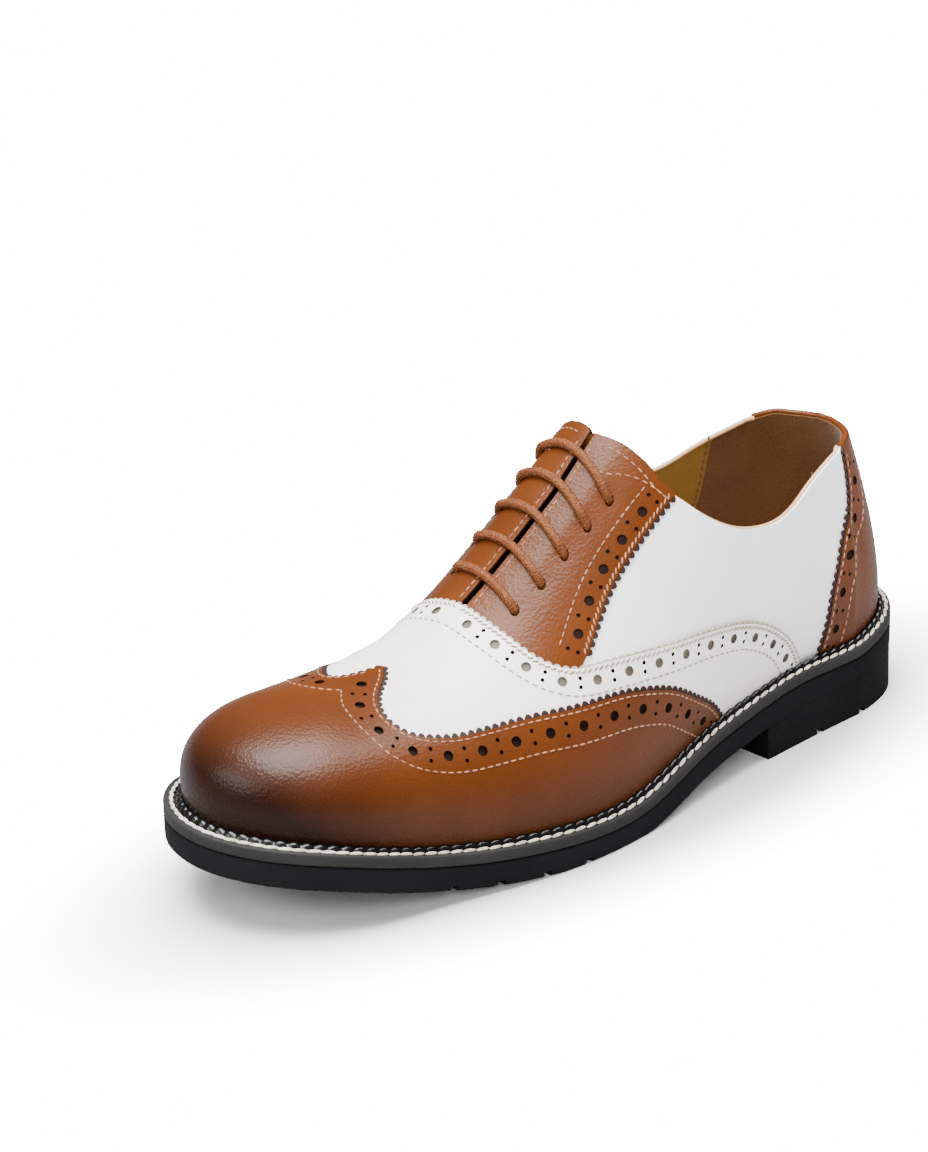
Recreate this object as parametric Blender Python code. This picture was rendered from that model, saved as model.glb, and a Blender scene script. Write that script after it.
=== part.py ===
"""A brown and white brogue shoe for the left foot, empty, standing on its sole.
The toe points along -Y and the outer side of the foot is +X. Tables hold shares of the named sizes."""

import math

import bmesh
import bpy
import numpy as np
from mathutils import Vector

# Driving sizes of the foot form, in millimetres
LAST_LENGTH = 288.0
BALL_WIDTH = 88.0
FORM_HEIGHT = 150.0
HEEL_LIFT = 30.0

# Driving sizes of the bottom
WELT_THICKNESS = 4.2
SOLE_THICKNESS = 8.4
WELT_MARGIN = 9.5
INSOLE_THICKNESS = 2.3
WELT_INSIDE = 6.0
BEAD_HEIGHT = 2.0
GROOVE_WIDTH = 3.0
GROOVE_DEPTH = 1.8

# Driving sizes of the upper
WALL = 2.0
FIT_SPACE = 0.3
PLATE_SPACE = 0.4
PANEL_SPACE = 0.55
PANEL_SKIN = 0.9
WING_SKIN = 1.5
SEAM_SPACE = 0.55
TONGUE_SKIN = 1.8
LACE_WIDTH = 3.0
LACE_SPACE = 0.5
EYELET_WIDTH = 4.0
HEEL_INSET = 0.3
HEEL_JOINT = 5.0
BEAD_FOOT = 3.1
EDGE_ROUND = 0.6
SLAB = 10.0
MERGE = 0.02
RIDGE_STEP = 0.03

METRES = 0.001

# Places along the form, from the back of the heel, as shares of its length
TOE_CENTRE = 0.84 * LAST_LENGTH
HEEL_CENTRE = 0.104 * LAST_LENGTH
BREAST = 0.278 * LAST_LENGTH

# The toe leans inward by this much at its centre, starting from this share of the length
TOE_LEAN = 0.057 * BALL_WIDTH
LEAN_START = 0.417 * LAST_LENGTH

# The pattern plane: each ray from ridge to edge is this long on it
PATTERN_REACH = 0.347 * LAST_LENGTH

# Run of the edge: quarter turns round the toe are 0 to 1, the side is 1 to 2, the heel's turn 2 to 3
# Columns: place on the run, outer half width, inner half width, both over BALL_WIDTH
EDGE = (
    (0.0, 0.523, 0.523),
    (0.5, 0.475, 0.483),
    (0.839, 0.448, 0.45),
    (1.0, 0.452, 0.445),
    (1.127, 0.503, 0.477),
    (1.269, 0.543, 0.455),
    (1.434, 0.508, 0.386),
    (1.599, 0.43, 0.335),
    (1.764, 0.377, 0.318),
    (1.906, 0.348, 0.325),
    (2.0, 0.332, 0.33),
    (2.5, 0.336, 0.336),
    (3.0, 0.357, 0.357),
)

# Columns: place on the run, outer lean, inner lean (over BALL_WIDTH), rise (over FORM_HEIGHT),
# outer shoulder, inner shoulder (over BALL_WIDTH)
SECTION = (
    (0.0, 0.068, 0.075, 0.167, 0.273, 0.273),
    (0.5, 0.091, 0.098, 0.153, 0.307, 0.295),
    (1.0, 0.102, 0.1, 0.15, 0.318, 0.314),
    (1.127, 0.102, 0.099, 0.157, 0.341, 0.325),
    (1.269, 0.108, 0.103, 0.187, 0.341, 0.303),
    (1.434, 0.125, 0.161, 0.299, 0.273, 0.29),
    (1.599, 0.176, 0.176, 0.365, 0.27, 0.28),
    (1.764, 0.176, 0.176, 0.333, 0.253, 0.314),
    (1.906, 0.119, 0.119, 0.3, 0.193, 0.209),
    (2.0, 0.085, 0.085, 0.273, 0.128, 0.126),
    (2.18, 0.072, 0.072, 0.268, 0.075, 0.075),
    (2.5, 0.057, 0.057, 0.257, 0.01, 0.01),
    (3.0, 0.034, 0.034, 0.24, -0.036, -0.036),
)

# Columns: share of the length from the heel, height of the welt's top over HEEL_LIFT
WELT_LINE = (
    (-0.021, 1.020),
    (0.0, 1.000),
    (0.104, 0.870),
    (0.208, 0.883),
    (0.260, 0.850),
    (0.313, 0.787),
    (0.417, 0.640),
    (0.521, 0.418),
    (0.608, 0.402),
    (0.677, 0.448),
    (0.747, 0.517),
    (0.840, 0.697),
    (0.920, 0.915),
    (1.028, 1.080),
)

# Columns: share of the length from the heel, height of the form's ridge over FORM_HEIGHT
RIDGE_LINE = (
    (0.104, 1.000),
    (0.208, 0.999),
    (0.313, 0.984),
    (0.417, 0.867),
    (0.521, 0.693),
    (0.608, 0.551),
    (0.694, 0.447),
    (0.781, 0.413),
    (0.840, 0.409),
)

# Columns: place on the run, how far the welt stands out over WELT_MARGIN
MARGIN = (
    (0.0, 1.000),
    (1.0, 0.895),
    (1.245, 0.842),
    (1.575, 0.737),
    (1.858, 0.579),
    (2.0, 0.579),
    (3.0, 0.632),
)

# Lines on the pattern plane. Columns: across from the ridge, along from the heel, over LAST_LENGTH
FACING_TOP = (
    (0.0055, 0.444),
    (0.055, 0.434),
    (0.085, 0.427),
    (0.11, 0.42),
    (0.132, 0.414),
    (0.148, 0.404),
)
TOPLINE = (
    (0.148, 0.404),
    (0.179, 0.375),
    (0.197, 0.349),
    (0.211, 0.316),
    (0.219, 0.278),
    (0.221, 0.243),
    (0.216, 0.208),
    (0.206, 0.174),
    (0.197, 0.139),
    (0.19, 0.104),
    (0.181, 0.052),
    (0.161, 0.0075),
    (0.132, -0.03),
    (0.0925, -0.0592),
    (0.0496, -0.0764),
    (0.0, -0.083),
)
THROAT = ((0.0, 0.637), (0.0055, 0.63))
FACING_EDGE = 0.0075
WING_LINE = (
    (0.0, 0.75),
    (0.025, 0.769),
    (0.04, 0.785),
    (0.062, 0.803),
    (0.093, 0.814),
    (0.118, 0.812),
    (0.139, 0.802),
    (0.153, 0.783),
    (0.162, 0.76),
    (0.17, 0.714),
    (0.183, 0.665),
    (0.212, 0.604),
    (0.242, 0.536),
    (0.261, 0.499),
    (0.283, 0.459),
    (0.311, 0.412),
    (0.329, 0.379),
    (0.343, 0.36),
    (0.36, 0.34),
)
# The wing's edge on the inner side: across and along, with the outer side's rows from the waist on
WING_INNER = (
    (0.0, 0.75),
    (0.008, 0.775),
    (0.016, 0.793),
    (0.028, 0.803),
    (0.045, 0.804),
    (0.065, 0.795),
    (0.09, 0.779),
    (0.118, 0.76),
    (0.145, 0.735),
    (0.166, 0.704),
    *WING_LINE[10:],
)
BAND_LINE = (
    (0.0, 0.637),
    (0.048, 0.637),
    (0.088, 0.633),
    (0.123, 0.625),
    (0.153, 0.611),
    (0.177, 0.59),
    (0.199, 0.555),
    (0.228, 0.499),
    (0.254, 0.436),
    (0.271, 0.366),
    (0.278, 0.329),
    (0.289, 0.289),
    (0.304, 0.254),
    (0.321, 0.228),
    (0.341, 0.209),
    (0.36, 0.195),
)
FACING_REAR = (
    (0.148, 0.404),
    (0.149, 0.443),
    (0.151, 0.483),
    (0.157, 0.519),
    (0.17, 0.549),
    (0.18, 0.568),
)
COUNTER_LINE = (
    (0.187, 0.08),
    (0.207, 0.077),
    (0.221, 0.082),
    (0.235, 0.097),
    (0.246, 0.112),
    (0.259, 0.124),
    (0.274, 0.134),
    (0.289, 0.144),
    (0.313, 0.153),
    (0.335, 0.162),
    (0.36, 0.172),
)

# Columns: across and along of each eyelet pair's outer hole, over LAST_LENGTH
EYELETS = ((0.093, 0.472), (0.089, 0.504), (0.085, 0.538), (0.081, 0.573), (0.072, 0.609))
EYELET_SKEW = -0.014

# How far the laced throat is pulled to the outer side. Columns: along, shift (both over LAST_LENGTH)
THROAT_PULL = (
    (-0.2, 0.0),
    (0.2, 0.0),
    (0.4, 0.013),
    (0.46, 0.0165),
    (0.505, 0.02),
    (0.55, 0.014),
    (0.6, 0.009),
    (0.66, 0.003),
    (0.7, 0.0),
    (1.5, 0.0),
)
PULL_REACH = 0.085 * LAST_LENGTH

# Tread grooves, as shares of the length from the heel
TREAD_PLACES = (0.10, 0.18, 0.62, 0.68, 0.74, 0.80)

# How finely each run of rays is divided
TOE_STEPS = 16
SIDE_STEPS = 20
HEEL_STEPS = 12
RING_STEPS = 12
LINE_STEP = 8.0
COLLAR_STEP = 5.0


def natural_spline(places, values):
    """A smooth curve through the values, straight at its ends."""
    x = np.asarray(places, float)
    y = np.asarray(values, float)
    gaps = np.diff(x)
    count = len(x)
    matrix = np.eye(count)
    right = np.zeros(count)
    for i in range(1, count - 1):
        matrix[i, i - 1 : i + 2] = gaps[i - 1], 2 * (gaps[i - 1] + gaps[i]), gaps[i]
        right[i] = 6 * ((y[i + 1] - y[i]) / gaps[i] - (y[i] - y[i - 1]) / gaps[i - 1])
    bend = np.linalg.solve(matrix, right)

    def curve(at):
        at = np.asarray(at, float)
        i = np.clip(np.searchsorted(x, at) - 1, 0, count - 2)
        low = at - x[i]
        high = x[i + 1] - at
        gap = gaps[i]
        cubic = (bend[i] * high**3 + bend[i + 1] * low**3) / (6 * gap)
        line = (y[i] / gap - bend[i] * gap / 6) * high + (y[i + 1] / gap - bend[i + 1] * gap / 6) * low
        return cubic + line

    return curve


def round_the_shoe(table, outer, inner):
    """A smooth closed curve of one column on the outer side and one on the inner; it runs from 0 to 6."""
    rows = np.array(table, float)
    places = np.concatenate([rows[:, 0], 6 - rows[-2:0:-1, 0]])
    values = np.concatenate([rows[:, outer], rows[-2:0:-1, inner]])
    wide = np.concatenate([places - 6, places, places + 6])
    return natural_spline(wide, np.tile(values, 3))


edge_width = round_the_shoe(EDGE, 1, 2)
section_lean = round_the_shoe(SECTION, 1, 2)
section_rise = round_the_shoe(SECTION, 3, 3)
section_shoulder = round_the_shoe(SECTION, 4, 5)
margin_share = round_the_shoe(MARGIN, 1, 1)
welt_line = natural_spline(*np.array(WELT_LINE).T)
ridge_line = natural_spline(*np.array(RIDGE_LINE).T)


def welt_top(along):
    return HEEL_LIFT * welt_line(np.asarray(along) / LAST_LENGTH)


def ridge_height(along):
    return FORM_HEIGHT * ridge_line(np.asarray(along) / LAST_LENGTH)


def spine_lean(along):
    """How far the middle of the form leans to the inner side."""
    share = np.clip((along - LEAN_START) / (TOE_CENTRE - LEAN_START), 0, 1)
    return -TOE_LEAN * share * share * (3 - 2 * share)


def rays():
    """The run's places round the shoe, from the toe down the outer side and back up the inner side."""
    toe = np.arange(TOE_STEPS // 2) / (TOE_STEPS // 2)
    side = 1 + np.arange(SIDE_STEPS) / SIDE_STEPS
    heel = 2 + np.arange(HEEL_STEPS // 2 + 1) / (HEEL_STEPS // 2)
    outer = np.concatenate([toe, side, heel])
    return np.concatenate([outer, 6 - outer[-2:0:-1]])


def ray_base(run):
    """Base point along the form, and the ray's direction across and along, for each place on the run."""
    side = np.where(run <= 3, 1.0, -1.0)
    place = np.where(run <= 3, run, 6 - run)
    along = TOE_CENTRE + (HEEL_CENTRE - TOE_CENTRE) * np.clip(place - 1, 0, 1)
    turn_toe = (1 - np.clip(place, 0, 1)) * math.pi / 2
    turn_heel = np.clip(place - 2, 0, 1) * math.pi / 2
    across = side * np.cos(turn_toe + turn_heel)
    ahead = np.sin(turn_toe) - np.sin(turn_heel)
    return along, across, ahead


def run_of(across, along):
    """The place on the run and the share up the section of a point on the pattern plane."""
    base = np.clip(along, HEEL_CENTRE, TOE_CENTRE)
    reach = np.hypot(across, along - base)
    turn = np.arctan2(np.abs(along - base), np.abs(across)) / (math.pi / 2)
    side = 1 + (TOE_CENTRE - base) / (TOE_CENTRE - HEEL_CENTRE)
    place = np.where(along > TOE_CENTRE, 1 - turn, np.where(along < HEEL_CENTRE, 2 + turn, side))
    return np.where(across >= 0, place, 6 - place), 1 - reach / PATTERN_REACH


def form_point(run, up):
    """Point of the foot form's surface: up is 0 at the bottom edge and 1 at the ridge."""
    base, across, ahead = ray_base(run)
    edge = BALL_WIDTH * edge_width(run)
    low = welt_top(base + ahead * edge) + FIT_SPACE
    top = ridge_height(base)
    shoulder = BALL_WIDTH * section_shoulder(run)
    reach_1 = edge + BALL_WIDTH * section_lean(run)
    height_1 = low + FORM_HEIGHT * section_rise(run)
    share = (1 - up) ** 3, 3 * up * (1 - up) ** 2, 3 * up * up * (1 - up), up**3
    reach = share[0] * edge + share[1] * reach_1 + share[2] * shoulder
    height = share[0] * low + share[1] * height_1 + (share[2] + share[3]) * top
    return in_frame(base, across * reach, ahead * reach, height)


def in_frame(base, across, ahead, height):
    """Millimetres in the row's frame, from a base on the spine and a step away from it."""
    return np.stack([spine_lean(base) + across - FRAME_SIDE, FRAME_MIDDLE - base - ahead, height], -1)


def pulled_over(across, along):
    """Pattern places with the laced throat pulled to the outer side."""
    shift = LAST_LENGTH * np.interp(np.asarray(along) / LAST_LENGTH, *np.array(THROAT_PULL).T)
    share = np.minimum(1, (np.asarray(across) / PULL_REACH) ** 2)
    return across + shift * (1 - share) ** 2, along


def on_form(across, along, off):
    """Pattern-plane points carried to the foot form, then moved out along its normal."""
    across, along = pulled_over(across, along)
    step = 0.002 * LAST_LENGTH
    ahead = form_point(*run_of(across, along + step)) - form_point(*run_of(across, along - step))
    sideways = form_point(*run_of(across + step, along)) - form_point(*run_of(across - step, along))
    normal = np.cross(ahead, sideways)
    run, up = run_of(across, along)
    normal[up < 0.002, 2] = 0
    normal /= np.linalg.norm(normal, axis=-1, keepdims=True)
    return form_point(run, np.clip(up, 0, 1)) + normal * np.asarray(off)[..., None]


def face_outward(shape):
    """Turns the faces of a closed mesh outward. Thin bent sheets need the check by volume."""
    bmesh.ops.recalc_face_normals(shape, faces=shape.faces)
    if shape.calc_volume(signed=True) < 0:
        bmesh.ops.reverse_faces(shape, faces=shape.faces)


def mesh_object(name, points, faces):
    """A closed mesh object from millimetre points, doubles joined and faces turned outward."""
    mesh = bpy.data.meshes.new(name)
    mesh.from_pydata([tuple(p) for p in points], [], faces)
    shape = bmesh.new()
    shape.from_mesh(mesh)
    bmesh.ops.remove_doubles(shape, verts=shape.verts, dist=0.0005)
    face_outward(shape)
    shape.to_mesh(mesh)
    shape.free()
    made = bpy.data.objects.new(name, mesh)
    bpy.context.scene.collection.objects.link(made)
    return made


def ray_solid(name, reach, height, closed):
    """Joins the profiles of all rays. An open profile starts and ends on the spine, a closed one is a ring."""
    run = rays()
    base, across, ahead = ray_base(run)
    count, size = reach.shape
    points = in_frame(base[:, None], across[:, None] * reach, ahead[:, None] * reach, height)
    links = size if closed else size - 1
    faces = []
    for i in range(count):
        after = (i + 1) % count
        for j in range(links):
            k = (j + 1) % size
            faces.append((i * size + j, after * size + j, after * size + k, i * size + k))
    return mesh_object(name, points.reshape(-1, 3), faces)


def applied(target, operation, cutter):
    """The target after one Boolean with the cutter, which is removed."""
    step = target.modifiers.new("cut", "BOOLEAN")
    step.operation = operation
    step.object = cutter
    bpy.context.view_layer.update()
    graph = bpy.context.evaluated_depsgraph_get()
    result = bpy.data.meshes.new_from_object(target.evaluated_get(graph))
    target.modifiers.clear()
    target.data = result
    bpy.data.objects.remove(cutter)
    return target


def prism(name, outline, low, high):
    """A straight-sided solid over a closed outline."""
    count = len(outline)
    points = [(x, y, low) for x, y in outline] + [(x, y, high) for x, y in outline]
    faces = [tuple(range(count)), tuple(range(count, 2 * count))]
    faces += [(i, (i + 1) % count, count + (i + 1) % count, count + i) for i in range(count)]
    return mesh_object(name, points, faces)


def flat_slab():
    """The whole pattern plane as a slab, divided along rays and rings."""
    run = rays()
    base, across, ahead = ray_base(run)
    steps = np.linspace(0, PATTERN_REACH, RING_STEPS + 1)
    reach = np.concatenate([steps, steps[::-1]])
    height = np.repeat([0.0, SLAB], RING_STEPS + 1)
    points = np.empty((len(run), len(reach), 3))
    points[..., 0] = across[:, None] * reach
    points[..., 1] = base[:, None] + ahead[:, None] * reach
    points[..., 2] = height
    size = len(reach)
    faces = []
    for i in range(len(run)):
        after = (i + 1) % len(run)
        for j in range(size - 1):
            faces.append((i * size + j, after * size + j, after * size + j + 1, i * size + j + 1))
    return mesh_object("flat slab", points.reshape(-1, 3), faces)


def panel(name, outline, operation, inside, outside):
    """A sheet of the foot form, cut by an outline on the pattern plane, between two offsets."""
    cutter = prism("outline", outline, -SLAB / 2, 1.5 * SLAB)
    made = applied(flat_slab(), operation, cutter)
    shape = bmesh.new()
    shape.from_mesh(made.data)
    bmesh.ops.dissolve_degenerate(shape, edges=shape.edges, dist=MERGE)
    bmesh.ops.triangulate(shape, faces=shape.faces)
    flat = np.array([v.co for v in shape.verts])
    placed = on_form(flat[:, 0], flat[:, 1], np.where(flat[:, 2] > SLAB / 2, outside, inside))
    for vert, place in zip(shape.verts, placed):
        vert.co = Vector(place)
    face_outward(shape)
    shape.to_mesh(made.data)
    shape.free()
    made.name = name
    return made


def on_plane(line):
    return np.array(line, float) * LAST_LENGTH


def smooth(line, step):
    """A table's line in pattern millimetres, rounded through its points at an even step."""
    line = on_plane(line)
    run = np.concatenate([[0], np.cumsum(np.hypot(*np.diff(line, axis=0).T))])
    even = np.linspace(0, run[-1], max(2, round(run[-1] / step)) + 1)
    return np.stack([natural_spline(run, line[:, 0])(even), natural_spline(run, line[:, 1])(even)], -1)


def shifted(line, distance):
    """The line moved sideways, to its left as it runs."""
    ahead = np.gradient(line, axis=0)
    ahead /= np.linalg.norm(ahead, axis=1)[:, None]
    return line + distance * np.stack([-ahead[:, 1], ahead[:, 0]], -1)


def mirrored(line):
    """The same line on the inner side, run the other way."""
    return line[::-1] * np.array([-1.0, 1.0])


def both_sides(line, inner=None):
    """The line from the inner side, which may have its own, to the outer one. Its middle point lies a hair
    beside the ridge, so that no corner of an outline falls on an edge of the slab that it cuts."""
    inner = line if inner is None else inner
    return np.concatenate([mirrored(inner)[:-1], line]) + (RIDGE_STEP, 0.0)


def tube(name, path, width, sides=6):
    """A round bar along a path."""
    path = np.asarray(path)
    ahead = np.gradient(path, axis=0)
    ahead /= np.linalg.norm(ahead, axis=1)[:, None]
    points = []
    for place, way in zip(path, ahead):
        level = np.cross(way, (0.0, 1.0, 0.3))
        level /= np.linalg.norm(level)
        upright = np.cross(level, way)
        for k in range(sides):
            turn = 2 * math.pi * k / sides
            points.append(place + width / 2 * (math.cos(turn) * level + math.sin(turn) * upright))
    count = len(path)
    faces = [tuple(range(sides)), tuple(range((count - 1) * sides, count * sides))]
    for i in range(count - 1):
        for k in range(sides):
            after = (k + 1) % sides
            faces.append((i * sides + k, i * sides + after, (i + 1) * sides + after, (i + 1) * sides + k))
    return mesh_object(name, points, faces)


def hole_cutter(across, along):
    """A cylinder through the leather at one eyelet."""
    ends = on_form(np.full(2, across), np.full(2, along), np.array([-WALL - 3.0, WING_SKIN + 4.0]))
    return tube("eyelet cutter", ends, EYELET_WIDTH, 12)


def finished(made, colour, roughness):
    """Scales the object to metres and gives it its own material."""
    made.data.transform(made.matrix_world)
    for vert in made.data.vertices:
        vert.co *= METRES
    matter = bpy.data.materials.new(made.name)
    matter.use_nodes = True
    shader = matter.node_tree.nodes["Principled BSDF"]
    shader.inputs["Base Color"].default_value = (*colour, 1.0)
    shader.inputs["Roughness"].default_value = roughness
    shader.inputs["Metallic"].default_value = 0.0
    made.data.materials.clear()
    made.data.materials.append(matter)
    made.data.name = made.name


for old in list(bpy.data.objects):
    bpy.data.objects.remove(old)

RUN = rays()
BASE, ACROSS, AHEAD = ray_base(RUN)
EDGE_REACH = BALL_WIDTH * edge_width(RUN)
OUTLINE_REACH = EDGE_REACH + WELT_MARGIN * margin_share(RUN)
OUTLINE_TOP = welt_top(BASE + AHEAD * OUTLINE_REACH)
EDGE_TOP = welt_top(BASE + AHEAD * EDGE_REACH)
SPINE_TOP = welt_top(BASE)
ZERO = np.zeros(len(RUN))

# The frame's origin lies under the middle of the sole's outline
outline_side = spine_lean(BASE) + ACROSS * OUTLINE_REACH
outline_along = BASE + AHEAD * OUTLINE_REACH
FRAME_SIDE = (outline_side.max() + outline_side.min()) / 2
FRAME_MIDDLE = (outline_along.max() + outline_along.min()) / 2


def profile(*columns):
    return np.stack(columns, -1)


# Rubber sole: a plate that follows the welt, flat where it stands, with the heel joined on below
inner = EDGE_REACH - WELT_INSIDE
step_reach = inner - FIT_SPACE
middle_reach = 0.6 * step_reach


def sole_top_at(reach):
    return welt_top(BASE + AHEAD * reach) - WELT_THICKNESS - FIT_SPACE


def sole_bottom_at(reach):
    return np.maximum(sole_top_at(reach) - SOLE_THICKNESS, 0)


sole_reaches = (ZERO, middle_reach, step_reach, OUTLINE_REACH)
outsole = ray_solid(
    "outsole",
    profile(*sole_reaches, *sole_reaches[::-1]),
    profile(*map(sole_bottom_at, sole_reaches), *map(sole_top_at, sole_reaches[::-1])),
    False,
)
heel_reach = OUTLINE_REACH - HEEL_INSET
heel_outline = in_frame(BASE, ACROSS * heel_reach, AHEAD * heel_reach, ZERO)[:, :2]
breast_y = FRAME_MIDDLE - BREAST
behind = [tuple(p) for p in heel_outline if p[1] > breast_y]
front = sorted(behind, key=lambda p: p[1])[:2]
front_x = sorted(p[0] for p in front)
corners = [(max(front_x), breast_y), (min(front_x), breast_y)]
heel_ring = behind + corners[::-1]
heel_middle = FRAME_MIDDLE - HEEL_CENTRE
turn = np.arctan2([p[1] - heel_middle for p in heel_ring], [p[0] for p in heel_ring])
heel_ring = [heel_ring[i] for i in np.argsort(turn)]
heel_block = prism("heel block", heel_ring, 0, float(welt_top(BREAST)) - WELT_THICKNESS - HEEL_JOINT)
applied(outsole, "UNION", heel_block)

# Tread grooves across the forefoot and the heel, seen as nicks in the sole's lower edge
for share in TREAD_PLACES:
    y = FRAME_MIDDLE - share * LAST_LENGTH
    low = float(welt_top(share * LAST_LENGTH)) - WELT_THICKNESS - FIT_SPACE - SOLE_THICKNESS
    low = max(low, 0) if share * LAST_LENGTH > BREAST else 0.0
    half = GROOVE_WIDTH / 2
    bar = [(-BALL_WIDTH, y - half), (BALL_WIDTH, y - half), (BALL_WIDTH, y + half), (-BALL_WIDTH, y + half)]
    applied(outsole, "DIFFERENCE", prism("groove", bar, -8.0, low + GROOVE_DEPTH))
finished(outsole, (0.012, 0.013, 0.015), 0.55)

# Welt: a flat ring with a raised bead against the upper
bead = BEAD_FOOT + 0.36 * (OUTLINE_REACH - EDGE_REACH - BEAD_FOOT)
inner_top = welt_top(BASE + AHEAD * inner)
welt = ray_solid(
    "welt",
    profile(
        inner,
        OUTLINE_REACH,
        OUTLINE_REACH,
        OUTLINE_REACH - EDGE_ROUND,
        EDGE_REACH + bead,
        EDGE_REACH + 0.5 * (bead + BEAD_FOOT),
        EDGE_REACH + BEAD_FOOT,
        EDGE_REACH + BEAD_FOOT,
        inner,
    ),
    profile(
        inner_top - WELT_THICKNESS,
        OUTLINE_TOP - WELT_THICKNESS,
        OUTLINE_TOP - EDGE_ROUND,
        OUTLINE_TOP,
        OUTLINE_TOP,
        EDGE_TOP + BEAD_HEIGHT,
        EDGE_TOP + 0.8 * BEAD_HEIGHT,
        EDGE_TOP,
        inner_top,
    ),
    True,
)
finished(welt, (0.03, 0.03, 0.032), 0.45)

# Insole: a stepped plate that fills the welt's ring and lines the floor inside
plate_reach = EDGE_REACH - WALL - PLATE_SPACE
plate_floor = welt_top(BASE + AHEAD * plate_reach) + FIT_SPACE
insole = ray_solid(
    "insole",
    profile(ZERO, middle_reach, step_reach, step_reach, plate_reach, plate_reach, middle_reach, ZERO),
    profile(
        sole_top_at(ZERO) + PLATE_SPACE,
        sole_top_at(middle_reach) + PLATE_SPACE,
        sole_top_at(step_reach) + PLATE_SPACE,
        welt_top(BASE + AHEAD * step_reach) + FIT_SPACE,
        plate_floor,
        plate_floor + INSOLE_THICKNESS,
        welt_top(BASE + AHEAD * middle_reach) + FIT_SPACE + INSOLE_THICKNESS,
        SPINE_TOP + FIT_SPACE + INSOLE_THICKNESS,
    ),
    False,
)
finished(insole, (0.42, 0.27, 0.13), 0.8)

# Upper: one hollow leather body, open at the throat, the collar and underneath
facing_top = smooth(FACING_TOP, LINE_STEP)
collar = smooth(TOPLINE, COLLAR_STEP)
topline = np.concatenate([facing_top, collar[1:]])
opening = np.concatenate([on_plane(THROAT), topline])
opening = np.concatenate([opening, mirrored(opening)[1:-1]])
upper = panel("upper", opening, "DIFFERENCE", -WALL, 0.0)

# Leather panels laid over the upper. Each leaves a narrow space to the next
wing_line = smooth(WING_LINE, LINE_STEP)
wing_inner = smooth(WING_INNER, LINE_STEP)
band_line = smooth(BAND_LINE, LINE_STEP)
beyond_toe = on_plane(((0.5, 0.30), (0.5, 1.4), (-0.5, 1.4), (-0.5, 0.30)))
wing_outline = np.concatenate([both_sides(wing_line, wing_inner), beyond_toe])
wing_cap = panel("wing_cap", wing_outline, "INTERSECT", PANEL_SPACE, PANEL_SPACE + WING_SKIN)

vamp_front = shifted(wing_line, -SEAM_SPACE)
vamp_front[0] = wing_line[0] - (0, 1.5 * SEAM_SPACE)
vamp_inner = shifted(wing_inner, -SEAM_SPACE)
vamp_inner[0] = vamp_front[0]
vamp_outline = np.concatenate([both_sides(vamp_front, vamp_inner), both_sides(band_line)[::-1]])
vamp = panel("vamp", vamp_outline, "INTERSECT", PANEL_SPACE, PANEL_SPACE + PANEL_SKIN)

facing_rear = smooth(FACING_REAR, LINE_STEP)
facing_bottom = shifted(band_line, -SEAM_SPACE)
across = facing_bottom[:, 0] / LAST_LENGTH
facing_bottom = facing_bottom[(across > 0.02) & (across < 0.17)]
front_edge = FACING_EDGE * LAST_LENGTH
top_edge = facing_top[facing_top[:, 0] > front_edge + 2.0]
corners = np.array([[front_edge, facing_bottom[0, 1]], [front_edge, facing_top[0, 1] - 0.8]])
facing_outline = np.concatenate([corners, top_edge, facing_rear[1:], facing_bottom[::-1]])
facing_lateral = panel("facing_lateral", facing_outline, "INTERSECT", PANEL_SPACE, PANEL_SPACE + PANEL_SKIN)
facing_medial = panel(
    "facing_medial", mirrored(facing_outline), "INTERSECT", PANEL_SPACE, PANEL_SPACE + PANEL_SKIN
)

counter_line = smooth(COUNTER_LINE, LINE_STEP)
collar_back = collar[collar[:, 1] < counter_line[0, 1] - 1.0]
beyond_heel = on_plane(((0.5, 0.16), (0.5, -0.5)))
counter_side = np.concatenate([collar_back[::-1], counter_line, beyond_heel])
counter_outline = np.concatenate([counter_side, mirrored(counter_side)[:-1]])
heel_counter = panel("heel_counter", counter_outline, "INTERSECT", PANEL_SPACE, PANEL_SPACE + PANEL_SKIN)

# Tongue: a plain leaf under the throat
tongue_outline = on_plane(
    ((0.075, 0.455), (0.082, 0.56), (0.078, 0.668), (-0.078, 0.668), (-0.082, 0.56), (-0.075, 0.455))
)
tongue_top = -WALL - LACE_WIDTH - LACE_SPACE
tongue = panel("tongue", tongue_outline, "INTERSECT", tongue_top - TONGUE_SKIN, tongue_top)

# Eyelet holes, and a lace bar between the two of each pair
lace_height = PANEL_SPACE + PANEL_SKIN + FIT_SPACE + 0.2 + LACE_WIDTH / 2
bars = []
for index, (across, along) in enumerate(np.array(EYELETS) * LAST_LENGTH):
    skew = EYELET_SKEW * LAST_LENGTH
    for leather, side, step in ((facing_lateral, 1, 0.0), (facing_medial, -1, skew)):
        applied(leather, "DIFFERENCE", hole_cutter(side * across, along + step))
        applied(upper, "DIFFERENCE", hole_cutter(side * across, along + step))
    spread = np.concatenate([[1.0, 1.0], np.linspace(0.985, -0.985, 9), [-1.0, -1.0]])
    off = np.concatenate([[-1.0, 0.45 * lace_height], np.full(9, lace_height), [0.45 * lace_height, -1.0]])
    path = on_form(spread * across, along + skew * (1 - spread) / 2, off)
    bars.append(tube(f"lace_bar_{index + 1}", path, LACE_WIDTH))

WHITE = (0.76, 0.76, 0.78)
BROWN = (0.34, 0.115, 0.036)
finished(upper, WHITE, 0.42)
finished(vamp, WHITE, 0.42)
for leather in (wing_cap, facing_lateral, facing_medial, heel_counter, tongue):
    finished(leather, BROWN, 0.38)
for bar in bars:
    finished(bar, (0.30, 0.13, 0.05), 0.6)
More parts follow.
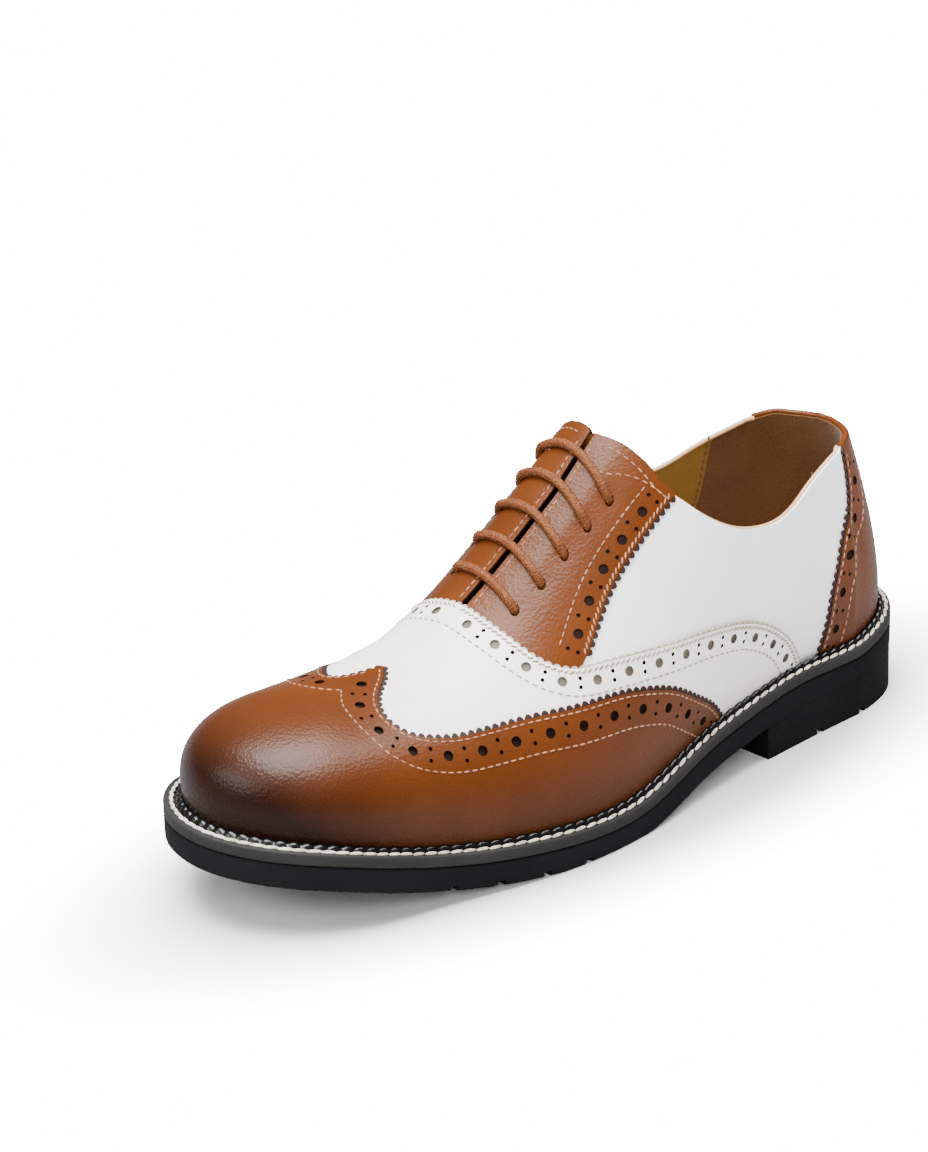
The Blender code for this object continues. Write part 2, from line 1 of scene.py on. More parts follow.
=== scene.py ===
"""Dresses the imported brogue: leather panels with gimped edges, punched holes and stitches, a beaded welt,
a rubber sole, a lining and a lace. Lengths are in millimetres until a mesh is finished.
Tables hold shares of the named sizes, as in the part's source."""

import math

import bmesh
import bpy
import numpy as np
from mathutils import Matrix, Vector


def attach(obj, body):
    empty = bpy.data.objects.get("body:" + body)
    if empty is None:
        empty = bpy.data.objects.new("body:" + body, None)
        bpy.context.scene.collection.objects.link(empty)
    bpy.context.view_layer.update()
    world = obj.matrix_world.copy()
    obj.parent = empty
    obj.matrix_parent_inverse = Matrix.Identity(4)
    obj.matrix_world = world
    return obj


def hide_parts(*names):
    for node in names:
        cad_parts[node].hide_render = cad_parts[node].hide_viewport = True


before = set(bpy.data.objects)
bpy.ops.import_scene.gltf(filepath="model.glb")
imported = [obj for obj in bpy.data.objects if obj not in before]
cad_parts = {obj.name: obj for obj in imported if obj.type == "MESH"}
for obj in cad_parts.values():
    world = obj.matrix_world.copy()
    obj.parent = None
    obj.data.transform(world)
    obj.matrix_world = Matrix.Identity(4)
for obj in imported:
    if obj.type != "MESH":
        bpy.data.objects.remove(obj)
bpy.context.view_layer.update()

# Driving sizes of the foot form, in millimetres
LAST_LENGTH = 288.0
BALL_WIDTH = 88.0
FORM_HEIGHT = 150.0
HEEL_LIFT = 30.0

# Driving sizes of the bottom
WELT_THICKNESS = 4.2
SOLE_THICKNESS = 8.4
WELT_MARGIN = 9.5
INSOLE_THICKNESS = 2.3
WELT_INSIDE = 6.0
GROOVE_WIDTH = 3.0
GROOVE_DEPTH = 1.8

# Driving sizes of the upper
WALL = 2.0
FIT_SPACE = 0.3
PLATE_SPACE = 0.4
TONGUE_SKIN = 1.8
LACE_WIDTH = 3.0
LACE_SPACE = 0.5
EYELET_WIDTH = 4.0
HEEL_INSET = 0.3
HEEL_JOINT = 5.0
SLAB = 10.0
MERGE = 0.02
WELD = 0.0005
RIDGE_STEP = 0.03

METRES = 0.001

# Places along the form, from the back of the heel, as shares of its length
TOE_CENTRE = 0.84 * LAST_LENGTH
HEEL_CENTRE = 0.104 * LAST_LENGTH
BREAST = 0.278 * LAST_LENGTH

# The toe leans inward by this much at its centre, starting from this share of the length
TOE_LEAN = 0.057 * BALL_WIDTH
LEAN_START = 0.417 * LAST_LENGTH

# The pattern plane: each ray from ridge to edge is this long on it
PATTERN_REACH = 0.347 * LAST_LENGTH

# Run of the edge: quarter turns round the toe are 0 to 1, the side is 1 to 2, the heel's turn 2 to 3
# Columns: place on the run, outer half width, inner half width, both over BALL_WIDTH
EDGE = (
    (0.0, 0.523, 0.523),
    (0.5, 0.475, 0.483),
    (0.839, 0.448, 0.45),
    (1.0, 0.452, 0.445),
    (1.127, 0.503, 0.477),
    (1.269, 0.543, 0.455),
    (1.434, 0.508, 0.386),
    (1.599, 0.43, 0.335),
    (1.764, 0.377, 0.318),
    (1.906, 0.348, 0.325),
    (2.0, 0.332, 0.33),
    (2.5, 0.336, 0.336),
    (3.0, 0.357, 0.357),
)

# Columns: place on the run, outer lean, inner lean (over BALL_WIDTH), rise (over FORM_HEIGHT),
# outer shoulder, inner shoulder (over BALL_WIDTH)
SECTION = (
    (0.0, 0.068, 0.075, 0.167, 0.273, 0.273),
    (0.5, 0.091, 0.098, 0.153, 0.307, 0.295),
    (1.0, 0.102, 0.1, 0.15, 0.318, 0.314),
    (1.127, 0.102, 0.099, 0.157, 0.341, 0.325),
    (1.269, 0.108, 0.103, 0.187, 0.341, 0.303),
    (1.434, 0.125, 0.161, 0.299, 0.273, 0.29),
    (1.599, 0.176, 0.176, 0.365, 0.27, 0.28),
    (1.764, 0.176, 0.176, 0.333, 0.253, 0.314),
    (1.906, 0.119, 0.119, 0.3, 0.193, 0.209),
    (2.0, 0.085, 0.085, 0.273, 0.128, 0.126),
    (2.18, 0.072, 0.072, 0.268, 0.075, 0.075),
    (2.5, 0.057, 0.057, 0.257, 0.01, 0.01),
    (3.0, 0.034, 0.034, 0.24, -0.036, -0.036),
)

# Columns: share of the length from the heel, height of the welt's top over HEEL_LIFT
WELT_LINE = (
    (-0.021, 1.020),
    (0.0, 1.000),
    (0.104, 0.870),
    (0.208, 0.883),
    (0.260, 0.850),
    (0.313, 0.787),
    (0.417, 0.640),
    (0.521, 0.418),
    (0.608, 0.402),
    (0.677, 0.448),
    (0.747, 0.517),
    (0.840, 0.697),
    (0.920, 0.915),
    (1.028, 1.080),
)

# Columns: share of the length from the heel, height of the form's ridge over FORM_HEIGHT
RIDGE_LINE = (
    (0.104, 1.000),
    (0.208, 0.999),
    (0.313, 0.984),
    (0.417, 0.867),
    (0.521, 0.693),
    (0.608, 0.551),
    (0.694, 0.447),
    (0.781, 0.413),
    (0.840, 0.409),
)

# Columns: place on the run, how far the welt stands out over WELT_MARGIN
MARGIN = (
    (0.0, 1.000),
    (1.0, 0.895),
    (1.245, 0.842),
    (1.575, 0.737),
    (1.858, 0.579),
    (2.0, 0.579),
    (3.0, 0.632),
)

# Lines on the pattern plane. Columns: across from the ridge, along from the heel, over LAST_LENGTH
FACING_TOP = (
    (0.0055, 0.444),
    (0.055, 0.434),
    (0.085, 0.427),
    (0.11, 0.42),
    (0.132, 0.414),
    (0.148, 0.404),
)
TOPLINE = (
    (0.148, 0.404),
    (0.179, 0.375),
    (0.197, 0.349),
    (0.211, 0.316),
    (0.219, 0.278),
    (0.221, 0.243),
    (0.216, 0.208),
    (0.206, 0.174),
    (0.197, 0.139),
    (0.19, 0.104),
    (0.181, 0.052),
    (0.161, 0.0075),
    (0.132, -0.03),
    (0.0925, -0.0592),
    (0.0496, -0.0764),
    (0.0, -0.083),
)
THROAT = ((0.0, 0.637), (0.0055, 0.63))
WING_LINE = (
    (0.0, 0.75),
    (0.025, 0.769),
    (0.04, 0.785),
    (0.062, 0.803),
    (0.093, 0.814),
    (0.118, 0.812),
    (0.139, 0.802),
    (0.153, 0.783),
    (0.162, 0.76),
    (0.17, 0.714),
    (0.183, 0.665),
    (0.212, 0.604),
    (0.242, 0.536),
    (0.261, 0.499),
    (0.283, 0.459),
    (0.311, 0.412),
    (0.329, 0.379),
    (0.343, 0.36),
    (0.36, 0.34),
)
# The wing's edge on the inner side: across and along, with the outer side's rows from the waist on
WING_INNER = (
    (0.0, 0.75),
    (0.008, 0.775),
    (0.016, 0.793),
    (0.028, 0.803),
    (0.045, 0.804),
    (0.065, 0.795),
    (0.09, 0.779),
    (0.118, 0.76),
    (0.145, 0.735),
    (0.166, 0.704),
    *WING_LINE[10:],
)
BAND_LINE = (
    (0.0, 0.637),
    (0.048, 0.637),
    (0.088, 0.633),
    (0.123, 0.625),
    (0.153, 0.611),
    (0.177, 0.59),
    (0.199, 0.555),
    (0.228, 0.499),
    (0.254, 0.436),
    (0.271, 0.366),
    (0.278, 0.329),
    (0.289, 0.289),
    (0.304, 0.254),
    (0.321, 0.228),
    (0.341, 0.209),
    (0.36, 0.195),
)
FACING_REAR = (
    (0.148, 0.404),
    (0.149, 0.443),
    (0.151, 0.483),
    (0.157, 0.519),
    (0.17, 0.549),
    (0.18, 0.568),
)
COUNTER_LINE = (
    (0.187, 0.08),
    (0.207, 0.077),
    (0.221, 0.082),
    (0.235, 0.097),
    (0.246, 0.112),
    (0.259, 0.124),
    (0.274, 0.134),
    (0.289, 0.144),
    (0.313, 0.153),
    (0.335, 0.162),
    (0.36, 0.172),
)

# Columns: across and along of each eyelet pair's outer hole, over LAST_LENGTH
EYELETS = ((0.093, 0.472), (0.089, 0.504), (0.085, 0.538), (0.081, 0.573), (0.072, 0.609))
EYELET_SKEW = -0.014

# How far the laced throat is pulled to the outer side. Columns: along, shift (both over LAST_LENGTH)
THROAT_PULL = (
    (-0.2, 0.0),
    (0.2, 0.0),
    (0.4, 0.013),
    (0.46, 0.0165),
    (0.505, 0.02),
    (0.55, 0.014),
    (0.6, 0.009),
    (0.66, 0.003),
    (0.7, 0.0),
    (1.5, 0.0),
)
PULL_REACH = 0.085 * LAST_LENGTH


def natural_spline(places, values):
    """A smooth curve through the values, straight at its ends."""
    x = np.asarray(places, float)
    y = np.asarray(values, float)
    gaps = np.diff(x)
    count = len(x)
    matrix = np.eye(count)
    right = np.zeros(count)
    for i in range(1, count - 1):
        matrix[i, i - 1 : i + 2] = gaps[i - 1], 2 * (gaps[i - 1] + gaps[i]), gaps[i]
        right[i] = 6 * ((y[i + 1] - y[i]) / gaps[i] - (y[i] - y[i - 1]) / gaps[i - 1])
    bend = np.linalg.solve(matrix, right)

    def curve(at):
        at = np.asarray(at, float)
        i = np.clip(np.searchsorted(x, at) - 1, 0, count - 2)
        low = at - x[i]
        high = x[i + 1] - at
        gap = gaps[i]
        cubic = (bend[i] * high**3 + bend[i + 1] * low**3) / (6 * gap)
        line = (y[i] / gap - bend[i] * gap / 6) * high + (y[i + 1] / gap - bend[i + 1] * gap / 6) * low
        return cubic + line

    return curve


def round_the_shoe(table, outer, inner):
    """A smooth closed curve of one column on the outer side and one on the inner; it runs from 0 to 6."""
    rows = np.array(table, float)
    places = np.concatenate([rows[:, 0], 6 - rows[-2:0:-1, 0]])
    values = np.concatenate([rows[:, outer], rows[-2:0:-1, inner]])
    wide = np.concatenate([places - 6, places, places + 6])
    return natural_spline(wide, np.tile(values, 3))


edge_width = round_the_shoe(EDGE, 1, 2)
section_lean = round_the_shoe(SECTION, 1, 2)
section_rise = round_the_shoe(SECTION, 3, 3)
section_shoulder = round_the_shoe(SECTION, 4, 5)
margin_share = round_the_shoe(MARGIN, 1, 1)
welt_line = natural_spline(*np.array(WELT_LINE).T)
ridge_line = natural_spline(*np.array(RIDGE_LINE).T)


def welt_top(along):
    return HEEL_LIFT * welt_line(np.asarray(along) / LAST_LENGTH)


def ridge_height(along):
    return FORM_HEIGHT * ridge_line(np.asarray(along) / LAST_LENGTH)


def spine_lean(along):
    """How far the middle of the form leans to the inner side."""
    share = np.clip((along - LEAN_START) / (TOE_CENTRE - LEAN_START), 0, 1)
    return -TOE_LEAN * share * share * (3 - 2 * share)


def ray_base(run):
    """Base point along the form, and the ray's direction across and along, for each place on the run."""
    side = np.where(run <= 3, 1.0, -1.0)
    place = np.where(run <= 3, run, 6 - run)
    along = TOE_CENTRE + (HEEL_CENTRE - TOE_CENTRE) * np.clip(place - 1, 0, 1)
    turn_toe = (1 - np.clip(place, 0, 1)) * math.pi / 2
    turn_heel = np.clip(place - 2, 0, 1) * math.pi / 2
    across = side * np.cos(turn_toe + turn_heel)
    ahead = np.sin(turn_toe) - np.sin(turn_heel)
    return along, across, ahead


def run_of(across, along):
    """The place on the run and the share up the section of a point on the pattern plane."""
    base = np.clip(along, HEEL_CENTRE, TOE_CENTRE)
    reach = np.hypot(across, along - base)
    turn = np.arctan2(np.abs(along - base), np.abs(across)) / (math.pi / 2)
    side = 1 + (TOE_CENTRE - base) / (TOE_CENTRE - HEEL_CENTRE)
    place = np.where(along > TOE_CENTRE, 1 - turn, np.where(along < HEEL_CENTRE, 2 + turn, side))
    return np.where(across >= 0, place, 6 - place), 1 - reach / PATTERN_REACH


def form_point(run, up):
    """Point of the foot form's surface: up is 0 at the bottom edge and 1 at the ridge."""
    base, across, ahead = ray_base(run)
    edge = BALL_WIDTH * edge_width(run)
    low = welt_top(base + ahead * edge) + FIT_SPACE
    top = ridge_height(base)
    shoulder = BALL_WIDTH * section_shoulder(run)
    reach_1 = edge + BALL_WIDTH * section_lean(run)
    height_1 = low + FORM_HEIGHT * section_rise(run)
    share = (1 - up) ** 3, 3 * up * (1 - up) ** 2, 3 * up * up * (1 - up), up**3
    reach = share[0] * edge + share[1] * reach_1 + share[2] * shoulder
    height = share[0] * low + share[1] * height_1 + (share[2] + share[3]) * top
    return in_frame(base, across * reach, ahead * reach, height)


def in_frame(base, across, ahead, height):
    """Millimetres in the row's frame, from a base on the spine and a step away from it."""
    return np.stack([spine_lean(base) + across - FRAME_SIDE, FRAME_MIDDLE - base - ahead, height], -1)


def pulled_over(across, along):
    """Pattern places with the laced throat pulled to the outer side."""
    shift = LAST_LENGTH * np.interp(np.asarray(along) / LAST_LENGTH, *np.array(THROAT_PULL).T)
    share = np.minimum(1, (np.asarray(across) / PULL_REACH) ** 2)
    return across + shift * (1 - share) ** 2, along


def on_form(across, along, off):
    """Pattern-plane points carried to the foot form, then moved out along its normal."""
    across, along = pulled_over(across, along)
    step = 0.002 * LAST_LENGTH
    ahead = form_point(*run_of(across, along + step)) - form_point(*run_of(across, along - step))
    sideways = form_point(*run_of(across + step, along)) - form_point(*run_of(across - step, along))
    normal = np.cross(ahead, sideways)
    run, up = run_of(across, along)
    normal[up < 0.002, 2] = 0
    normal /= np.linalg.norm(normal, axis=-1, keepdims=True)
    return form_point(run, np.clip(up, 0, 1)) + normal * np.asarray(off)[..., None]


# Frame: the origin lies under the middle of the sole's outline
FRAME_SIDE = -0.5755
FRAME_MIDDLE = 144.988

# Levels of the leather over the foot form
QUARTER_SKIN = 0.9
LINING_TOP = -0.95
UNDER_PANEL = 0.05
PANEL_TOP = 0.95
VAMP_TOP = 1.4
WING_TOP = 2.1
PANEL_TEETH_TOP = PANEL_TOP - 0.15
BAND_TEETH_TOP = VAMP_TOP - 0.2
WING_TEETH_TOP = WING_TOP - 0.25

# A panel's slab: its cells, and how far it and its cutters reach past what they cut
CELL = 2.4
SLAB_BEFORE = 1.37
SLAB_BEYOND = 1.53
PATTERN_CUT = 5
OUTLINE_CUT = 6
PUNCH_LENGTH = 20.0
SLICE_STEP = 1.5

# Pattern points this near to the ridge or to the bottom edge are left out of a seam or a hole row
RIDGE_CLEAR = 0.3
BOTTOM_CLEAR = 0.012

# Gimped edges
TOOTH_PITCH = 3.0
TOOTH_DEPTH = 1.75
BAND_TOOTH = 1.05
FACE_TOOTH = 0.15
TOOTH_SWING = (0.0, 0.62, 0.93, 1.0, 0.93, 0.62)
STRIP_REACH = 1.9
STRIP_CLEAR = 0.6

# Punched holes: their radii, pitch and rows, and half the spread of a pair of small ones
BIG_HOLE = 1.75
SMALL_HOLE = 0.75
HOLE_PITCH = 12.6
WING_HOLES = 5.9
BAND_HOLES = 4.6
FACING_HOLES = 5.0
COUNTER_HOLES = 5.0
WING_PAIR = 2.0
BAND_PAIR = 1.5
PANEL_PAIR = 1.8

# Seams
STITCH_PITCH = 2.9
STITCH_LENGTH = 2.2
STITCH_WIDTH = 0.56
STITCH_LIFT = 0.06
ROPE_PITCH = 2.1
ROPE_TWIST = 0.5
EDGE_SEAM = 1.15
WING_SEAM = 11.6
BAND_SEAM = 9.0
FACING_SEAM = 9.8
COUNTER_SEAM = 10.3
TOP_SEAM = 2.6
FRONT_SEAM = 2.4

# Dimples at the eyelets
DIMPLE_WIDTH = 4.5
DIMPLE_DEPTH = 0.35

# Soft forms of the worn-in leather: across, along, their two widths (over LAST_LENGTH) and depth in mm
SOFT_FORMS = (
    (0.235, 0.150, 0.020, 0.060, -0.9),
    (0.262, 0.215, 0.030, 0.040, 0.5),
    (0.225, 0.300, 0.022, 0.070, -0.5),
    (0.200, 0.450, 0.030, 0.060, -0.5),
    (0.120, 0.680, 0.060, 0.016, -0.35),
    (0.135, 0.715, 0.060, 0.014, 0.3),
    (0.060, 0.520, 0.030, 0.110, 0.5),
)


def relief(across, along):
    """Height of the soft forms, and the dimples that the lace pulls at the eyelets."""
    height = np.zeros(np.shape(across))
    for x, y, wide, long, depth in SOFT_FORMS:
        away = ((np.abs(across) / LAST_LENGTH - x) / wide) ** 2 + ((along / LAST_LENGTH - y) / long) ** 2
        height += depth * np.exp(-away)
    for x, y in EYELETS:
        away = ((np.abs(across) - x * LAST_LENGTH) / DIMPLE_WIDTH) ** 2
        away += ((along - y * LAST_LENGTH) / DIMPLE_WIDTH) ** 2
        height -= DIMPLE_DEPTH * np.exp(-away)
    return height


def on_leather(across, along, off):
    """The foot form with its soft forms."""
    return on_form(across, along, np.asarray(off) + relief(across, along))


def frame_on(across, along, off):
    """Point, and the change of the point for a millimetre across and along the pattern."""
    step = 0.4
    middle = on_leather(across, along, off)
    over = (on_leather(across + step, along, off) - on_leather(across - step, along, off)) / (2 * step)
    ahead = (on_leather(across, along + step, off) - on_leather(across, along - step, off)) / (2 * step)
    return middle, over, ahead


def lengths_along(path):
    """The distance from a path's start to each of its points."""
    return np.concatenate([[0], np.cumsum(np.linalg.norm(np.diff(path, axis=0), axis=1))])


def evenly(path, step):
    """The same path at an even step, rounded through its points."""
    path = np.asarray(path, float)
    run = lengths_along(path)
    even = np.linspace(0, run[-1], max(2, round(run[-1] / step)) + 1)
    return np.stack([natural_spline(run, column)(even) for column in path.T], -1)


def smooth(line, step=SLICE_STEP):
    """A table's line in pattern millimetres, rounded through its points at an even step."""
    return evenly(np.array(line, float) * LAST_LENGTH, step)


def pulled_in(points):
    """Pattern points kept just inside the bottom edge, where the leather still has a slope."""
    base = np.clip(points[:, 1], HEEL_CENTRE, TOE_CENTRE)
    away = np.stack([points[:, 0], points[:, 1] - base], -1)
    reach = np.maximum(np.linalg.norm(away, axis=1), 1e-6)
    away *= np.minimum(1, 0.985 * PATTERN_REACH / reach)[:, None]
    return away[:, 0], base + away[:, 1]


def evened(steps, reach):
    """Each step averaged with its neighbours, so that a fold of the pattern leaves no jump."""
    wide = np.concatenate([np.repeat(steps[:1], reach, 0), steps, np.repeat(steps[-1:], reach, 0)])
    total = np.cumsum(np.concatenate([np.zeros((1, 2)), wide]), axis=0)
    return (total[2 * reach + 1 :] - total[: -2 * reach - 1]) / (2 * reach + 1)


def walk(line, pitch, whole=1):
    """Even steps over the leather along a pattern line, with unit steps ahead and to the left of it."""
    run = lengths_along(on_leather(line[:, 0], line[:, 1], np.zeros(len(line))))
    count = max(1, round(run[-1] / pitch / whole)) * whole
    even = np.linspace(0, run[-1], count + 1)
    points = np.stack([np.interp(even, run, line[:, 0]), np.interp(even, run, line[:, 1])], -1)
    way = np.gradient(points, axis=0)
    over, ahead = frame_on(*pulled_in(points), np.zeros(len(points)))[1:]
    along = over * way[:, :1] + ahead * way[:, 1:]
    way /= np.linalg.norm(along, axis=1)[:, None]
    along /= np.linalg.norm(along, axis=1)[:, None]
    left = np.stack([-(along * ahead).sum(1), (along * over).sum(1)], -1)
    left /= np.linalg.norm(over * left[:, :1] + ahead * left[:, 1:], axis=1)[:, None]
    reach = max(1, round(3.0 * count / max(run[-1], 1.0)))
    return points, evened(way, reach), evened(left, reach)


def beside(line, distance, start=0, end=0, ridge=RIDGE_CLEAR):
    """The line moved over the leather to its left, from the ridge on, less some millimetres of each end."""
    points, way, left = walk(line, 1.0)
    moved = points + left * distance
    moved = moved[start : len(moved) - end]
    way = way[start : len(way) - end]
    ahead = np.concatenate([[True], (np.diff(moved, axis=0) * way[1:]).sum(1) > 0])
    up = run_of(moved[:, 0], moved[:, 1])[1]
    return moved[(moved[:, 0] > ridge) & (up > BOTTOM_CLEAR) & ahead]


def meeting(outer, inner):
    """Two rows, one of each side, cut where the first meets the mirror image of the second."""
    gap = np.linalg.norm(outer[:, None] - inner[None] * (-1.0, 1.0), axis=2)
    first, second = np.unravel_index(np.argmin(gap), gap.shape)
    return outer[first:], inner[second:]


def gimped(line, pitch=TOOTH_PITCH, depth=TOOTH_DEPTH):
    """The line with a row of small round teeth on its left."""
    steps = len(TOOTH_SWING)
    points, way, left = walk(line, pitch / steps, steps)
    swing = np.tile(TOOTH_SWING, len(points) // steps + 1)[: len(points)]
    return points + left * (depth * swing)[:, None]


def mirrored(line):
    """The same line on the inner side, run the other way."""
    return line[::-1] * (-1.0, 1.0)


def both_sides(line, inner=None):
    """The line from the inner side, which may have its own, to the outer one, through the ridge."""
    inner = line if inner is None else inner
    return np.concatenate([mirrored(inner)[:-1], line]) + (RIDGE_STEP, 0.0)


def outward(shape):
    """Turns the faces of a closed mesh outward."""
    bmesh.ops.recalc_face_normals(shape, faces=shape.faces)
    if shape.calc_volume(signed=True) < 0:
        bmesh.ops.reverse_faces(shape, faces=shape.faces)


def in_scene(name, data):
    """A new object of the scene with a mesh, lamp or camera."""
    made = bpy.data.objects.new(name, data)
    bpy.context.scene.collection.objects.link(made)
    return made


def mesh_of(name, shape, materials):
    """A mesh from a bmesh, which is freed."""
    mesh = bpy.data.meshes.new(name)
    shape.to_mesh(mesh)
    shape.free()
    for material in materials:
        mesh.materials.append(material)
    return mesh


def loose_object(name, shape, slots=1):
    """A scratch object from a bmesh, with empty material slots."""
    names = [f"slot {k}" for k in range(slots)]
    materials = [bpy.data.materials.get(n) or bpy.data.materials.new(n) for n in names]
    return in_scene(name, mesh_of(name, shape, materials))


def raised(shape, faces, height):
    """Extrudes flat faces straight up into a closed solid."""
    made = bmesh.ops.extrude_face_region(shape, geom=faces)["geom"]
    verts = [g for g in made if isinstance(g, bmesh.types.BMVert)]
    bmesh.ops.translate(shape, verts=verts, vec=(0, 0, height))
    outward(shape)


def cut(target, operation, cutter):
    """The target after one Boolean with the cutter, which is removed."""
    step = target.modifiers.new("cut", "BOOLEAN")
    step.operation = operation
    step.object = cutter
    bpy.context.view_layer.update()
    graph = bpy.context.evaluated_depsgraph_get()
    result = bpy.data.meshes.new_from_object(target.evaluated_get(graph))
    target.modifiers.clear()
    target.data = result
    bpy.data.objects.remove(cutter)
    return target


def prism(outline, low, high, slot):
    """A straight-sided solid over an outline on the pattern plane."""
    shape = bmesh.new()
    raised(shape, [shape.faces.new([shape.verts.new((x, y, low)) for x, y in outline])], high - low)
    for face in shape.faces:
        face.material_index = slot
    return loose_object("outline", shape, 4)


def punches(holes):
    """One cutter for all the holes of a panel. Only eyelets go right through it."""
    shape = bmesh.new()
    for (x, y), (ax, ay), (lx, ly), radius, floor in holes:
        shear = Matrix(((ax, lx, 0, x), (ay, ly, 0, y), (0, 0, 1, floor + PUNCH_LENGTH / 2), (0, 0, 0, 1)))
        made = bmesh.ops.create_cone(
            shape,
            cap_ends=True,
            segments=14 if radius > 1 else 8,
            radius1=radius,
            radius2=radius,
            depth=PUNCH_LENGTH,
            matrix=shear,
        )
        for face in {face for vert in made["verts"] for face in vert.link_faces}:
            face.material_index = 2 if radius > 1 else 3
    outward(shape)
    return loose_object("punches", shape, 4)


def blank(low, high):
    """A flat slab of square cells over part of the pattern plane, which a panel is cut from."""
    shape = bmesh.new()
    size = high - low
    middle = (high + low) / 2
    fit = Matrix.Translation((*middle, 0)) @ Matrix.Diagonal((size[0], size[1], 1, 1))
    cells = np.ceil(size / CELL).astype(int)
    bmesh.ops.create_grid(shape, x_segments=int(cells[0]), y_segments=int(cells[1]), size=0.5, matrix=fit)
    raised(shape, shape.faces[:], SLAB)
    return loose_object("blank", shape, 4)


def whole_pattern():
    """The outline of the whole pattern plane."""
    run = np.linspace(0, 6, 361)[:-1]
    base, across, ahead = ray_base(run)
    return np.stack([across * PATTERN_REACH, base + ahead * PATTERN_REACH], -1)


def panel(name, cuts, holes, inside, outside, finishes, tint=None):
    """A leather panel: a slab cut by outlines and holes, laid on the foot form between two levels.
    Its finishes are for its face, its edge and its big holes. The small holes are dark in every panel."""
    reach = np.array([PATTERN_REACH, PATTERN_REACH])
    low = np.array([0.0, HEEL_CENTRE]) - reach - SLAB_BEFORE
    high = np.array([0.0, TOE_CENTRE]) + reach + SLAB_BEYOND
    for operation, outline in cuts:
        if operation == "INTERSECT":
            low = np.maximum(low, outline.min(0) - SLAB_BEFORE)
            high = np.minimum(high, outline.max(0) + SLAB_BEYOND)
    made = cut(blank(low, high), "INTERSECT", prism(whole_pattern(), -PATTERN_CUT, SLAB + PATTERN_CUT, 1))
    for operation, outline in cuts:
        made = cut(made, operation, prism(outline, -OUTLINE_CUT, SLAB + OUTLINE_CUT, 1))
    if holes:
        made = cut(made, "DIFFERENCE", punches(holes))
    shape = bmesh.new()
    shape.from_mesh(made.data)
    bpy.data.objects.remove(made)
    bmesh.ops.dissolve_degenerate(shape, edges=shape.edges, dist=MERGE)
    bmesh.ops.triangulate(shape, faces=[f for f in shape.faces if len(f.verts) > 4])
    flat = np.array([v.co for v in shape.verts])
    share = flat[:, 2] / SLAB
    placed = on_leather(flat[:, 0], flat[:, 1], inside + (outside - inside) * share)
    for vert, place in zip(shape.verts, placed):
        vert.co = Vector(place)
    outward(shape)
    if holes:
        finishes = [*finishes, brown_hole]
    return finish_piece(name, shape, finishes, tint(*flat[:, :2].T) if tint else None)


def finish_piece(name, shape, finishes, shade=None, crease=0.6):
    """A named piece in metres: smooth faces with sharp folds, its materials, and its shading mask."""
    for face in shape.faces:
        face.smooth = True
    for edge in shape.edges:
        edge.smooth = edge.calc_face_angle(0.0) < crease
    bmesh.ops.scale(shape, vec=(METRES,) * 3, verts=shape.verts)
    mesh = mesh_of(name, shape, finishes)
    if shade is not None:
        # The mask darkens a piece towards its dark tone: burnish at the toe, painted shade on the tongue
        # under the slit, and darker towards the bottom on other panels.
        mask = mesh.attributes.new("burnish_and_shade", "FLOAT", "POINT")
        mask.data.foreach_set("value", np.asarray(shade, np.float32))
    made = in_scene(name, mesh)
    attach(made, "root")
    return made


def lofted(rings, slots=None, closed=False):
    """A skin over rings of points. Each ring is extruded from the one before."""
    shape = bmesh.new()
    place = shape.verts.layers.int.new("place")
    verts = bmesh.ops.create_circle(shape, cap_ends=False, segments=len(rings[0]), radius=1.0)["verts"]
    for number, vert in enumerate(verts):
        vert[place] = number
    edges = shape.edges[:]
    for step, ring in enumerate(rings):
        if step:
            made = bmesh.ops.extrude_edge_only(shape, edges=edges)["geom"]
            verts = [g for g in made if isinstance(g, bmesh.types.BMVert)]
            fresh = set(verts)
            edges = [g for g in made if isinstance(g, bmesh.types.BMEdge) and fresh.issuperset(g.verts)]
            if slots:
                for face in {f for e in edges for f in e.link_faces}:
                    face.material_index = slots[step - 1]
        for vert in verts:
            vert.co = Vector(ring[vert[place]])
    if not closed:
        bmesh.ops.holes_fill(shape, edges=[e for e in shape.edges if e.is_boundary], sides=0)
    bmesh.ops.remove_doubles(shape, verts=shape.verts, dist=WELD)
    outward(shape)
    return shape


def cord(path, width, sides, weave=0.0, repeat=1.1):
    """A round cord along a path, with a low braid."""
    ahead = np.gradient(path, axis=0)
    ahead /= np.linalg.norm(ahead, axis=1)[:, None]
    level = np.cross(ahead[0], (0.3, 0.5, 0.8))
    rings = []
    turn = np.arange(sides) * 2 * math.pi / sides
    for centre, way, far in zip(path, ahead, lengths_along(path)):
        level = level - way * (level @ way)
        level /= np.linalg.norm(level)
        upright = np.cross(way, level)
        slant = 2 * math.pi * far / repeat / 2
        braid = np.cos(4 * turn + slant) * np.cos(4 * turn - slant)
        radius = width / 2 * (1 + weave * braid)
        spoke = np.cos(turn)[:, None] * level + np.sin(turn)[:, None] * upright
        rings.append(centre + radius[:, None] * spoke)
    return lofted(rings)


def stitch(shape, centre, ahead, up, length, width, twist=0.0):
    """One stitch, half sunk: a small rounded grain of thread."""
    ahead = ahead / np.linalg.norm(ahead)
    side = np.cross(up, ahead)
    side /= np.linalg.norm(side)
    way = math.cos(twist) * ahead + math.sin(twist) * side
    side = np.cross(up, way)
    fit = Matrix.Identity(4)
    for row in range(3):
        fit[row][0] = way[row] * length / 2
        fit[row][1] = side[row] * width / 2
        fit[row][2] = up[row] * width / 2
        fit[row][3] = centre[row]
    bmesh.ops.create_uvsphere(
        shape, u_segments=6, v_segments=5, radius=1.0, matrix=fit @ Matrix.Rotation(math.pi / 2, 4, "Y")
    )


